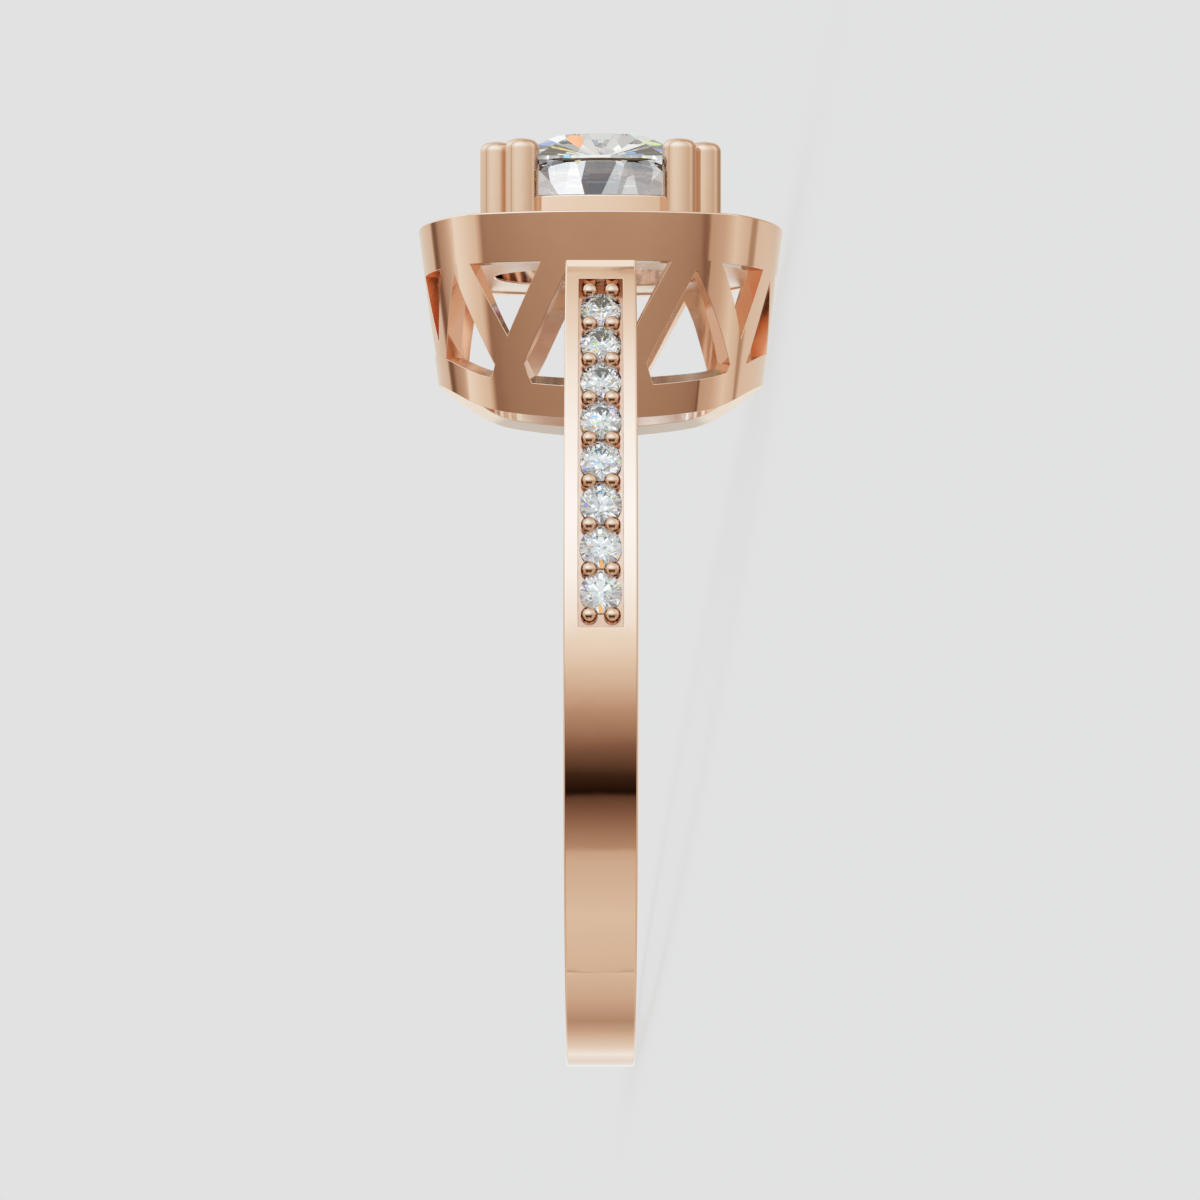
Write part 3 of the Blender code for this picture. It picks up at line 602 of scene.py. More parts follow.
def head_loops():
    """Sections of the halo plate and collet, from the wall's top outside to its top inside."""
    rim = basket_outline(RIM_TOP)
    under = basket_outline(PLATE_UNDERSIDE)
    floor = RIM_TOP - HALO_FLOOR_DEPTH
    gallery = RIM_TOP - GALLERY_DROP
    collet_top = RIM_TOP + COLLET_RISE
    channel_inner = HALO_RIM + HALO_CHANNEL_WIDTH
    inner = (COLLET_HALF_LENGTH - COLLET_WALL, COLLET_HALF_WIDTH - COLLET_WALL)
    outer = (COLLET_HALF_LENGTH, COLLET_HALF_WIDTH)
    hole = (PLATE_HOLE_HALF_LENGTH, PLATE_HOLE_HALF_WIDTH)

    def cushion(outline, height, inset):
        steps = [outline.perimeter * index / HEAD_STEPS for index in range(HEAD_STEPS)]
        return [outline.at(distance, inset)[0] + X * height for distance in steps]

    def oval(halves, height, squareness=STONE_SQUARENESS):
        points = []
        for guide in cushion(rim, height, channel_inner):
            turn = math.atan2(guide.z, guide.y)
            reach = superellipse(*halves, squareness, turn)
            points.append(Vector((height, reach * math.cos(turn), reach * math.sin(turn))))
        return points

    return [
        (cushion(under, PLATE_UNDERSIDE, 0.0), False),
        (cushion(rim, RIM_TOP, 0.0), True),
        (cushion(rim, RIM_TOP, HALO_RIM), True),
        (cushion(rim, floor, HALO_RIM), False),
        (cushion(rim, floor, channel_inner), False),
        (cushion(rim, gallery, channel_inner), True),
        (oval(outer, gallery), False),
        (oval(outer, collet_top), True),
        (oval(inner, collet_top), True),
        (oval(hole, PLATE_UNDERSIDE, 2.0), True),
        (cushion(under, PLATE_UNDERSIDE, BASKET_WALL), False),
    ]


def halo_plate():
    """The halo's rim, recess, gallery and collet, open where the basket wall joins on."""
    shape = bmesh.new()
    soft_edges = []
    rows = []
    for points, rounded in head_loops():
        row = [shape.verts.new(point) for point in points]
        if rounded:
            soft_edges += [shape.edges.new((row[index - 1], row[index])) for index in range(len(row))]
        rows.append(row)
    # The plate's underside row takes the lighter copy of the gold, painted light
    row_finish_or_painted_light = {COLLET_INSIDE_ROW: CUT, PLATE_UNDERSIDE_ROW: UNDERNEATH}
    for number, (row, after) in enumerate(zip(rows, rows[1:])):
        for index in range(len(row)):
            beside = (index + 1) % len(row)
            face = shape.faces.new((row[index], row[beside], after[beside], after[index]))
            face.material_index = row_finish_or_painted_light.get(number, OUTSIDE)
    bmesh.ops.recalc_face_normals(shape, faces=shape.faces[:])
    soft = round_edges(shape, soft_edges, RIM_EDGE, RIM_ROUNDS)
    settle_normals(shape, lambda face: face not in soft)
    return shape


def join(shapes):
    """One shape of several, with their settled normals."""
    whole = bmesh.new()
    for shape in shapes:
        mesh = as_mesh("part", shape)
        whole.from_mesh(mesh)
        bpy.data.meshes.remove(mesh)
    bmesh.ops.remove_doubles(whole, verts=whole.verts[:], dist=CLOSE)
    return whole


def basket(place):
    wall, around = rolled_out_wall()
    roll_up(wall, around)
    return settled_piece("basket_and_halo", join([wall, halo_plate()]), place)


# Shank and shoulders

def shank_point(turn, inset=0.0):
    """A point of the shank's outer outline, at a turn from its lowest point, and its normal."""
    def on_curve(angle):
        reach = SHOULDER_REACH if math.cos(angle) < 0.0 else SHANK_OUTER_RADIUS
        return Vector((-reach * math.cos(angle), SHANK_OUTER_RADIUS * math.sin(angle), 0.0))

    along = on_curve(turn + SMALL_TURN) - on_curve(turn - SMALL_TURN)
    normal = Vector((-along.y, along.x, 0.0)).normalized()
    point = on_curve(turn)
    if normal.dot(point) < 0.0:
        normal = -normal
    return point - normal * inset, normal


def walk(turn, distance):
    """The turn that lies a distance further up the shank's outer outline."""
    before = shank_point(turn)[0]
    while distance > 0.0:
        after = shank_point(turn + SMALL_TURN)[0]
        step = (after - before).length
        if step >= distance:
            return turn + SMALL_TURN * distance / step
        distance -= step
        before = after
        turn += SMALL_TURN
    return turn


def channel_turns():
    """Turns of a shoulder's stones and bead pairs, and of its channel's upper end."""
    first = walk(SHOULDER_CHANNEL_START, SHOULDER_CHANNEL_END_ROOM)
    beads = [walk(first, index * SHOULDER_STONE_PITCH) for index in range(SHOULDER_STONES + 1)]
    stones = [walk(turn, SHOULDER_STONE_PITCH / 2.0) for turn in beads[:-1]]
    return stones, beads, walk(beads[-1], SHOULDER_CHANNEL_END_ROOM)


def shoulder_end():
    """The turn at which the shank's outline reaches the lip at the shoulder's top."""
    turn = math.pi / 2.0
    while shank_point(turn)[0].x < SHOULDER_TOP - SHOULDER_LIP:
        turn += SMALL_TURN
    return turn


def spread(start, end):
    """Turns at even steps from start to end, without the end."""
    count = math.ceil((end - start) / OUTLINE_STEP)
    return [start + (end - start) * index / count for index in range(count)]


def shank_outline():
    """The side profile of the shank and both shoulders, open over the finger hole."""
    _, _, channel_end = channel_turns()
    ends = (0.0, SHOULDER_CHANNEL_START, channel_end, shoulder_end())
    half = [turn for start, end in zip(ends, ends[1:]) for turn in spread(start, end)]
    half.append(ends[-1])
    turns = [-turn for turn in half[:0:-1]] + half
    outer = [shank_point(turn)[0] for turn in turns]
    lip = outer[-1].y - SHOULDER_LIP * math.tan(LIP_LEAN)
    middle_of_wall = BASKET_WALL / 2.0
    wall_top = -wall_point(0.0, SHOULDER_TOP, middle_of_wall).y
    low = hole_height(0.0, middle_of_wall)
    wall_low = math.sqrt(FINGER_RADIUS**2 - low**2)
    reach = math.atan2(wall_low, -low)
    inner = [reach * (2.0 * index / FINGER_STEPS - 1.0) for index in range(FINGER_STEPS + 1)]
    finger = [(-FINGER_RADIUS * math.cos(turn), FINGER_RADIUS * math.sin(turn)) for turn in inner]
    far_side = [(SHOULDER_TOP, lip), (SHOULDER_TOP, wall_top)]
    near_side = [(SHOULDER_TOP, -wall_top), (SHOULDER_TOP, -lip)]
    return [(point.x, point.y) for point in outer] + far_side + finger[::-1] + near_side


def sink_channels(shape):
    """Sinks both shoulders' channels into the shank's outer surface."""
    half = SHOULDER_CHANNEL_WIDTH / 2.0
    for side in (-1.0, 1.0):
        slice_at(shape, Z * (side * half), Z)
    _, _, end = channel_turns()
    faces = [face for face in shape.faces if is_channel_face(face, half, end)]
    made = bmesh.ops.extrude_face_region(shape, geom=faces)
    moved = of_kind(made["geom"], bmesh.types.BMVert)
    floor = set(of_kind(made["geom"], bmesh.types.BMFace))
    bmesh.ops.delete(shape, geom=faces, context="FACES")
    for vert in moved:
        _, normal = shank_point(outline_turn(vert.co))
        vert.co -= normal * SHOULDER_CHANNEL_DEPTH
    shape.normal_update()
    walls = {face for vert in moved for face in vert.link_faces} - floor
    mouth = [
        edge
        for face in walls
        for edge in face.edges
        if not set(edge.verts) & set(moved)
    ]
    return round_edges(shape, mouth, CHANNEL_EDGE, CHANNEL_ROUNDS)


def outline_turn(point):
    """The turn of a point of the shank's outer outline."""
    reach = SHOULDER_REACH if point.x > 0.0 else SHANK_OUTER_RADIUS
    return math.atan2(point.y / SHANK_OUTER_RADIUS, -point.x / reach)


def is_channel_face(face, half, end):
    middle = face.calc_center_median()
    turn = abs(outline_turn(middle))
    _, normal = shank_point(outline_turn(middle))
    return (
        abs(middle.z) < half
        and SHOULDER_CHANNEL_START < turn < end
        and face.normal.dot(normal) > FACES_OUT
        and middle.xy.length > FINGER_RADIUS + SHANK_EDGE
    )


def shank(place):
    """The shank with its two channelled shoulders."""
    shape = flat_plate([shank_outline()], SHANK_WIDTH, SHANK_EDGE, rounds=2)
    soft = sink_channels(shape)
    settle_normals(shape, lambda face: is_flat_or_upright(face) and face not in soft)
    return settled_piece("shank_and_shoulders", shape, place)


def stone_seats(place):
    """The pierced floors of both channels, on which the shoulder stones sit."""
    length = SHOULDER_STONES * SHOULDER_STONE_PITCH + 2.0 * SHOULDER_CHANNEL_END_ROOM
    half = SHOULDER_CHANNEL_WIDTH / 2.0 + SEAT_OVERLAP
    ends = (-SEAT_OVERLAP, length + SEAT_OVERLAP)
    outlines = [[(ends[0], -half), (ends[1], -half), (ends[1], half), (ends[0], half)]]
    for index in range(SHOULDER_STONES):
        middle = SHOULDER_CHANNEL_END_ROOM + (index + 0.5) * SHOULDER_STONE_PITCH
        outlines.append(arc((middle, 0.0), SEAT_HOLE_RADIUS, 0.0, math.tau, ROUND_SIDES)[:-1])
    count = round(length / SEAT_STEP)
    turns = [SHOULDER_CHANNEL_START]
    for _ in range(count):
        turns.append(walk(turns[-1], length / count))
    strips = []
    for side in (-1.0, 1.0):
        strip = flat_plate(outlines, SEAT_THICKNESS, CHANNEL_EDGE, rounds=1)
        settle_normals(strip, is_flat_or_upright)
        for index in range(count + 1):
            slice_at(strip, X * (length * index / count), X)
        bend(strip, side, turns, length)
        strips.append(strip)
    return settled_piece("stone_seats", join(strips), place)


def bend(strip, side, turns, length):
    """Bends a flat strip along a shoulder, under the shank's outline."""
    frames = {}
    for vert in strip.verts:
        inside = min(max(vert.co.x, 0.0), length)
        share = inside / length * (len(turns) - 1)
        first = min(int(share), len(turns) - 2)
        turn = turns[first] + (turns[first + 1] - turns[first]) * (share - first)
        point, normal = shank_point(side * turn, SEAT_DEPTH + SEAT_THICKNESS / 2.0 - vert.co.z)
        after, _ = shank_point(side * (turn + SMALL_TURN))
        before, _ = shank_point(side * (turn - SMALL_TURN))
        along = (after - before).normalized()
        across = normal.cross(along)
        frames[vert] = (along, across, normal)
        vert.co = point + across * vert.co.y + along * (vert.co.x - inside)
    turn_settled(strip, frames)


# Turned and ground prototypes

def turned(name, profile, sides):
    """Turns a profile of (radius, height) points round the Z axis into a smooth mesh."""
    shape = bmesh.new()
    points = [shape.verts.new((radius, 0.0, height)) for radius, height in profile]
    edges = [shape.edges.new(pair) for pair in zip(points, points[1:])]
    bmesh.ops.spin(
        shape, geom=points + edges, cent=(0, 0, 0), axis=(0, 0, 1), angle=math.tau, steps=sides
    )
    bmesh.ops.remove_doubles(shape, verts=shape.verts[:], dist=CLOSE)
    bmesh.ops.recalc_face_normals(shape, faces=shape.faces[:])
    return smooth_but_sharp(as_mesh(name, shape))


def arc(centre, radius, start, end, steps):
    """Points of a round stretch of a profile."""
    turns = [start + (end - start) * index / steps for index in range(steps + 1)]
    return [(centre[0] + radius * math.cos(turn), centre[1] + radius * math.sin(turn)) for turn in turns]


def prong_mesh():
    """A round post with a domed top, its foot at z = 0."""
    core = PRONG_RADIUS - PRONG_DOME
    shoulder = PRONG_RISE - PRONG_DOME - PRONG_CROWN
    profile = [(0.0, -PRONG_ROOT), (PRONG_RADIUS, -PRONG_ROOT), (PRONG_RADIUS, shoulder - PRONG_CROWN)]
    profile += arc((core, shoulder), PRONG_DOME, 0.0, PRONG_DOME_TURN, PRONG_DOME_STEPS)
    profile += [(core * PRONG_TIP[0], PRONG_RISE - PRONG_CROWN * PRONG_TIP[1]), (0.0, PRONG_RISE)]
    return turned("prong", profile, ROUND_SIDES)


def bead_mesh(name, radius, post, lift, root):
    """A ball on a thin post, at the height of its stone's girdle."""
    start = -math.acos(post / radius)
    profile = [(0.0, -root), (post, -root)]
    profile += arc((0.0, lift), radius, start, math.pi / 2.0, BEAD_STEPS)
    profile[-1] = (0.0, lift + radius)
    return turned(name, profile, BEAD_SIDES)


def facet(shape, point, normal):
    """Grinds one flat facet on a stone."""
    edges = of_kind(slice_at(shape, point, normal, "inner"), bmesh.types.BMEdge)
    if edges:
        bmesh.ops.edgeloop_fill(shape, edges=edges)


class Brilliant:
    """A stone ground facet by facet, its girdle's top at z = 0 and its length along Y."""

    def __init__(self, half_length, half_width, squareness, crown, girdle, pavilion):
        self.outline = (half_length, half_width, squareness)
        self.crown = crown
        self.bottom = -girdle
        self.culet = -girdle - pavilion
        self.shape = bmesh.new()

    def edge(self, turn, share, height):
        reach = share * superellipse(*self.outline, turn)
        return Vector((reach * math.sin(turn), reach * math.cos(turn), height))

    def rough(self, sides):
        """The prism that is ground down."""
        loop = [
            self.shape.verts.new(self.edge(math.tau * index / sides, 1.0, 2.0 * self.culet))
            for index in range(sides)
        ]
        face = self.shape.faces.new(loop)
        made = bmesh.ops.extrude_face_region(self.shape, geom=[face], use_keep_orig=True)
        moved = of_kind(made["geom"], bmesh.types.BMVert)
        bmesh.ops.translate(self.shape, verts=moved, vec=(0.0, 0.0, -4.0 * self.culet))
        bmesh.ops.recalc_face_normals(self.shape, faces=self.shape.faces[:])

    def grind(self, turn, outer, inner):
        """One facet through two (share, height) points of a direction, level across them."""
        outer_point = self.edge(turn, *outer)
        inner_point = self.edge(turn, *inner)
        level = self.edge(turn + SMALL_TURN, 1.0, 0.0) - self.edge(turn - SMALL_TURN, 1.0, 0.0)
        normal = level.cross(inner_point - outer_point)
        if normal.dot(outer_point - Z * outer[1]) < 0.0:
            normal = -normal
        facet(self.shape, outer_point, normal.normalized())

    def cut(self, name, sides, table, lower, phase=0.0, splits=()):
        """Table, stars, mains and halves above; mains, halves and any splits of them below."""
        self.rough(sides)
        half = math.pi / FOLDS
        under = (1.0, self.bottom)
        star = (STAR[0], self.crown * STAR[1])
        lower_share, lower_depth = lower
        keel = (lower_share, self.bottom + (self.culet - self.bottom) * lower_depth)
        facet(self.shape, Z * self.crown, Z)
        for index in range(FOLDS):
            turn = math.tau * index / FOLDS + phase
            self.grind(turn, (1.0, 0.0), (table, self.crown))
            self.grind(turn + half, star, (table * math.cos(half), self.crown))
            self.grind(turn, under, (0.0, self.culet))
            for lean in (half / 2.0, half + half / 2.0):
                self.grind(turn + lean, (1.0, 0.0), star)
                self.grind(turn + lean, under, keel)
        for start, end in splits:
            for index in range(2 * FOLDS):
                self.grind(half * index + phase, start, end)
        return as_mesh(name, self.shape)


def small_brilliant(radius):
    """A round brilliant of 57 facets."""
    heights = [radius * ROUND_HEIGHTS[part] for part in ("crown", "girdle", "pavilion")]
    return Brilliant(radius, radius, 2.0, *heights).cut("brilliant", ROUND_SIDES, **ROUND_CUT)


def centre_brilliant():
    """The cushion brilliant between the prongs."""
    stone = Brilliant(
        STONE_HALF_LENGTH, STONE_HALF_WIDTH, STONE_SQUARENESS, STONE_CROWN, STONE_GIRDLE, STONE_PAVILION
    )
    return stone.cut("centre_brilliant", CUSHION_SIDES, **CUSHION_CUT)


# Node trees

def feed(tree, socket, value):
    """Links a socket to another, or gives it a value."""
    if isinstance(value, bpy.types.NodeSocket):
        tree.links.new(value, socket)
    else:
        socket.default_value = value


def add_node(tree, kind, feeds, **settings):
    """A new node with its settings, and its inputs fed by name or number."""
    made = tree.nodes.new(kind)
    for name, value in settings.items():
        setattr(made, name, value)
    for key, value in feeds.items():
        feed(tree, made.inputs[key], value)
    return made


def new_group(name, kind, inlets, outlets):
    """An empty node group, and what its inputs give."""
    tree = bpy.data.node_groups.new(name, kind)
    for in_out, sockets in (("INPUT", inlets), ("OUTPUT", outlets)):
        for word, socket in sockets.items():
            tree.interface.new_socket(word, in_out=in_out, socket_type=f"NodeSocket{socket}")
    return tree, tree.nodes.new("NodeGroupInput").outputs


def maths(tree, operation, *values):
    """A Math node fed by sockets or numbers; gives its output."""
    return add_node(tree, "ShaderNodeMath", dict(enumerate(values)), operation=operation).outputs["Value"]


def ramp(tree, factor, stops):
    """A colour ramp through (place, colour) stops."""
    made = add_node(tree, "ShaderNodeValToRGB", {"Fac": factor})
    band = made.color_ramp
    while len(band.elements) < len(stops):
        band.elements.new(0.5)
    for index, (place, _) in enumerate(stops):
        band.elements[index].position = place
    for element, (_, colour) in zip(band.elements, stops):
        element.color = (*colour, 1.0)
    return made.outputs["Color"]


def mixed(tree, factor, first, second):
    """One colour or level mixed into another."""
    feeds = {"Factor": factor, "A": first, "B": second}
    return add_node(tree, "ShaderNodeMix", feeds, data_type="RGBA").outputs["Result"]


def smooth_step(tree, value, start, end):
    """0 up to the start, 1 from the end on, and a soft rise between."""
    feeds = {"Value": value, "From Min": start, "From Max": end}
    return add_node(tree, "ShaderNodeMapRange", feeds, interpolation_type="SMOOTHSTEP").outputs["Result"]


# Repeats by Geometry Nodes

def repeat_tree():
    """Puts a piece at each point, turned by the point's own up and along directions."""
    inlets = {"Places": "Geometry", "Piece": "Object", "Size": "Float", "Finish": "Material"}
    tree, given = new_group("set_in_a_row", "GeometryNodeTree", inlets, {"Pieces": "Geometry"})
    piece = add_node(tree, "GeometryNodeObjectInfo", {"Object": given["Piece"]})
    up, along = [
        add_node(tree, "GeometryNodeInputNamedAttribute", {"Name": word}, data_type="FLOAT_VECTOR")
        for word in ("up", "along")
    ]
    feeds = {"Primary Axis": up.outputs["Attribute"], "Secondary Axis": along.outputs["Attribute"]}
    aim = add_node(tree, "FunctionNodeAxesToRotation", feeds, primary_axis="Z", secondary_axis="X")
    feeds = {
        "Points": given["Places"],
        "Instance": piece.outputs["Geometry"],
        "Rotation": aim.outputs["Rotation"],
        "Scale": given["Size"],
    }
    put = add_node(tree, "GeometryNodeInstanceOnPoints", feeds)
    real = add_node(tree, "GeometryNodeRealizeInstances", {"Geometry": put.outputs["Instances"]})
    feeds = {"Geometry": real.outputs["Geometry"], "Material": given["Finish"]}
    finish = add_node(tree, "GeometryNodeSetMaterial", feeds)
    add_node(tree, "NodeGroupOutput", {"Pieces": finish.outputs["Geometry"]})
    return tree


def set_in_row(name, tree, mesh, places, finish):
    """A piece made of copies of a mesh at some places, as one plain mesh."""
    points = bpy.data.meshes.new(name)
    points.from_pydata([origin for origin, _, _ in places], [], [])
    for word, column in (("up", 1), ("along", 2)):
        layer = points.attributes.new(word, "FLOAT_VECTOR", "POINT")
        for item, row in zip(layer.data, places):
            item.vector = row[column]
    prototype = add_object("prototype", mesh)
    row = add_object(name, points)
    step = row.modifiers.new("repeat", "NODES")
    step.node_group = tree
    values = {"Piece": prototype, "Size": MM, "Finish": finish}
    for socket in tree.interface.items_tree:
        if socket.name in values and socket.in_out == "INPUT":
            step[socket.identifier] = values[socket.name]
    made = plain_mesh(name, row)
    bpy.data.objects.remove(prototype)
    return add_object(name, made)


def in_frame(place, rows):
    """Rows of (origin, up, along) in millimetres, laid down in the frame."""
    turn = place.to_3x3().normalized()
    return [(place @ origin, turn @ up, turn @ along) for origin, up, along in rows]


def shoulder_rows(turns, side, across, spin=0.0):
    """Places in a shoulder's channel, facing out."""
    rows = []
    for index, turn in enumerate(turns):
        point, normal = shank_point(side * turn, SHOULDER_SETTING_DEPTH)
        along = normal.cross(Z)
        along.rotate(Matrix.Rotation(index * spin, 3, normal))
        rows.append((point + Z * across, normal, along))
    return rows


def halo_rows(phase, across, spin=0.0):
    """Places at even steps round the halo's recess, facing up."""
    rim = basket_outline(RIM_TOP)
    middle = HALO_RIM + HALO_CHANNEL_WIDTH / 2.0
    steps = range(WALK_STEPS + 1)
    points = [rim.at(rim.perimeter * index / WALK_STEPS, middle)[0] for index in steps]
    lengths = [(after - before).length for before, after in zip(points, points[1:])]
    rows = []
    for index in range(HALO_STONES):
        wanted = (index + phase) / HALO_STONES * sum(lengths)
        step = 0
        while step < len(lengths) - 1 and wanted > lengths[step]:
            wanted -= lengths[step]
            step += 1
        distance = rim.perimeter * (step + wanted / lengths[step]) / WALK_STEPS
        point, outward = rim.at(distance, middle - across)
        outward.rotate(Matrix.Rotation(index * spin, 3, X))
        rows.append((point + X * (RIM_TOP - HALO_SETTING_DEPTH), X, outward))
    return rows


def bead_rows(turns):
    """Name, shape and places of the beads along both shoulders and round the halo."""
    on_shoulders = [
        row
        for across in (-SHOULDER_BEAD_ACROSS, SHOULDER_BEAD_ACROSS)
        for side in (-1.0, 1.0)
        for row in shoulder_rows(turns, side, across)
    ]
    on_halo = [row for across in (-HALO_BEAD_ACROSS, HALO_BEAD_ACROSS) for row in halo_rows(0.0, across)]
    return [("shoulder_beads", SHOULDER_BEAD, on_shoulders), ("halo_beads", HALO_BEAD, on_halo)]


def small_stone_rows(turns):
    """Name, radius, places and solids of the stones along each shoulder and round the halo."""
    rows = []
    for word, side in (("near", -1.0), ("far", 1.0)):
        solids = [f"shoulder_stone_{word}_{index + 1}" for index in range(SHOULDER_STONES)]
        places = shoulder_rows(turns, side, 0.0, SPARKLE_TURN)
        rows.append((f"{word}_shoulder_brilliants", SHOULDER_STONE_RADIUS, places, solids))
    solids = [f"halo_stone_{index + 1:02d}" for index in range(HALO_STONES)]
    rows.append(("halo_brilliants", HALO_STONE_RADIUS, halo_rows(0.5, 0.0, SPARKLE_TURN), solids))
    return rows


def prong_rows():
    return [
        (Vector((RIM_TOP, end * along, side * across)), X, Y * end)
        for across, along in PRONG_PLACES
        for side in (-1.0, 1.0)
        for end in (-1.0, 1.0)
    ]


# Finishes

def grey(level):
    return (level, level, level, 1.0)


def new_finish(name, values):
    """A material whose values are set on its shader's own sockets."""
    material = bpy.data.materials.new(name)
    material.use_nodes = True
    for socket, value in values.items():
        material.node_tree.nodes["Principled BSDF"].inputs[socket].default_value = value
    return material


def hand_polish_group():
    """Faint, slow waves and fine wheel marks that a hand polish leaves in a surface."""
    inlets = {"Scale": "Float", "Waves": "Float", "Marks": "Float"}
    outlets = {"Height": "Float", "Roughness": "Float"}
    tree, given = new_group("hand_polish", "ShaderNodeTree", inlets, outlets)
    where = add_node(tree, "ShaderNodeTexCoord", {}).outputs["Object"]
    levels = {}
    for outlet, amount, finer in (("Height", "Waves", 1.0), ("Roughness", "Marks", MARKS_FINER)):
        scale = maths(tree, "MULTIPLY", given["Scale"], finer)
        feeds = {"Vector": where, "Scale": scale, "Detail": POLISH_DETAIL}
        noise = add_node(tree, "ShaderNodeTexNoise", feeds)
        levels[outlet] = maths(tree, "MULTIPLY", noise.outputs["Fac"], given[amount])
    add_node(tree, "NodeGroupOutput", levels)
    return tree


def rose_gold(name, polish):
    """Rose gold with a hand polish, as its row says; some rows are lighter copies with painted light,
    others darker copies with painted shade.
    """
    colour, roughness, waves, marks = GOLD_FINISHES_AND_PAINTED_LIGHT[name]
    material = new_finish(name, {"Base Color": (*colour, 1.0), "Metallic": 1.0})
    tree = material.node_tree
    shader = tree.nodes["Principled BSDF"]
    feeds = {"Scale": POLISH_SCALE, "Waves": waves, "Marks": marks}
    group = add_node(tree, "ShaderNodeGroup", feeds, node_tree=polish)
    feeds = {"Distance": POLISH_DEPTH * MM, "Height": group.outputs["Height"]}
    bump = add_node(tree, "ShaderNodeBump", feeds)
    feed(tree, shader.inputs["Normal"], bump.outputs["Normal"])
    feed(tree, shader.inputs["Roughness"], maths(tree, "ADD", group.outputs["Roughness"], roughness))
    return material


def diamond():
    """Clear cut stone, its surface reflections given a painted warm tint."""
    values = {
        "Base Color": grey(1.0),
        "Roughness": 0.0,
        "IOR": DIAMOND_IOR,
        "Specular Tint": DIAMOND_WARM_REFLECTION_TINT,
        "Transmission Weight": 1.0,
    }
    return new_finish("diamond", values)


# Studio

# Light levels of the studio, from straight below to straight above, in degrees
FRONT_LEVELS = (
    (-90, 0.77), (-67, 0.84), (-48, 0.73), (-45, 0.68), (-43.5, 0.53), (-32, 0.24), (-27.6, 0.12),
    (-26.4, 0.01), (-21, 0.05), (-13, 0.235), (-8, 0.4), (-2.6, 0.53), (0, 0.67), (2, 0.76), (7, 0.89),
    (12, 1.01), (20, 1.09), (30, 1.13), (46, 1.09), (61, 1.02), (76, 0.92), (90, 0.81),
)
SIDE_LEVELS = ((-90, 0.8), (-40, 0.7), (-12, 0.7), (10, 0.8), (40, 0.95), (90, 0.83))
BACK_LEVELS = (
    (-90, 0.77), (-78, 0.69), (-65, 0.51), (-54, 0.74), (-38, 0.97), (-29, 0.84), (-20, 0.85),
    (-8, 0.95), (-3, 0.76), (0, 0.76), (90, 0.83),
)
# Screens round the ring at its own height, from behind on the left to behind on the right
SCREEN_LEVELS = (
    (-180, 0.76), (-140, 0.71), (-137, 0.2), (-133, 0.22), (-130, 0.44), (-121, 0.61), (-111, 0.93),
    (-90, 0.88), (-64, 0.78), (-55, 0.61), (-49, 0.32), (-40, 0.3), (38, 0.33), (40, 0.58),
    (60, 0.65), (86, 0.84), (115, 0.72), (118, 0.46), (121, 0.48), (124, 0.78), (180, 0.78),
)
# How the front's light falls off to its sides, under the horizon and above it
LOW_FALL_OFF = (
    (-180, 0.68), (-50, 0.68), (-36, 0.74), (-26, 0.89), (-13, 0.98), (15, 0.97), (28, 0.85), (35, 0.7),
    (36.5, 0.46), (38, 0.5), (180, 0.68),
)
HIGH_FALL_OFF = (
    (-180, 0.85), (-124, 0.96), (-84, 0.93), (-79, 0.74), (-75, 0.74), (-70, 0.94), (-60, 0.97),
    (-43, 1.05), (-13, 1.02), (0, 1.0), (32, 0.9), (65, 0.8), (83, 0.93), (95, 0.8), (105, 0.6),
    (134, 0.5), (142, 0.75), (180, 0.9),
)
# Tint of the light at each level: the darker, the warmer
LIGHT_TINTS = (
    (0.0, (0.0, 0.0, 0.0)), (0.038, (0.038, 0.019, 0.0115)), (0.116, (0.116, 0.067, 0.043)),
    (0.24, (0.238, 0.145, 0.104)), (0.37, (0.371, 0.26, 0.187)), (0.51, (0.511, 0.397, 0.302)),
    (0.67, (0.672, 0.586, 0.496)), (0.83, (0.83, 0.85, 0.8)), (0.96, (0.957, 1.097, 1.158)),
    (1.12, (1.12, 1.51, 1.88)), (1.2, (1.2, 1.62, 2.0)),
)
TOP_LEVEL = 1.2
LIGHT_STRENGTH = 2.0
BACKDROP = 0.76
FLOOR_SIZE = 4.0
FLOOR_SHADE = 0.08
# Angles over which one light gives way to the next
LEFT_SCREEN = (-45.0, -60.0)
RIGHT_SCREEN = (38.0, 40.0)
HORIZON = (2.0, 6.0)
SCREEN_FOOT = (-14.0, -8.0)
BACK = (135.0, 165.0)
# Patches that the stones gather: their size, brightness, levels, and a few coloured flashes
SPARK_SCALE = 13.0
SPARK_STRENGTH = 1.2
SPARK_LEVELS = (
    (0.0, (0.15, 0.15, 0.155)), (0.15, (0.28, 0.28, 0.28)), (0.5, (0.55, 0.55, 0.54)),
    (0.8, (0.72, 0.71, 0.69)), (0.9, (0.95, 0.94, 0.92)), (1.0, (1.0, 1.0, 1.0)),
)
FLASH_HUES = (
    (0.0, (0.9, 0.3, 0.12)), (0.25, (0.9, 0.85, 0.2)), (0.45, (0.5, 0.85, 0.3)),
    (0.6, (0.2, 0.6, 0.8)), (0.8, (0.15, 0.3, 0.9)), (1.0, (0.9, 0.4, 0.75)),
)
FLASH_START = (0.9, 0.93)


def level_ramp(tree, angle, rows):
    """Grey levels by an angle, from rows of (degrees, level) that reach equally far both ways."""
    widest = rows[-1][0]
    stops = [((degrees / widest + 1.0) / 2.0, (level / TOP_LEVEL,) * 3) for degrees, level in rows]
    share = maths(tree, "MULTIPLY_ADD", angle, 0.5 / widest, 0.5)
    return ramp(tree, share, stops)


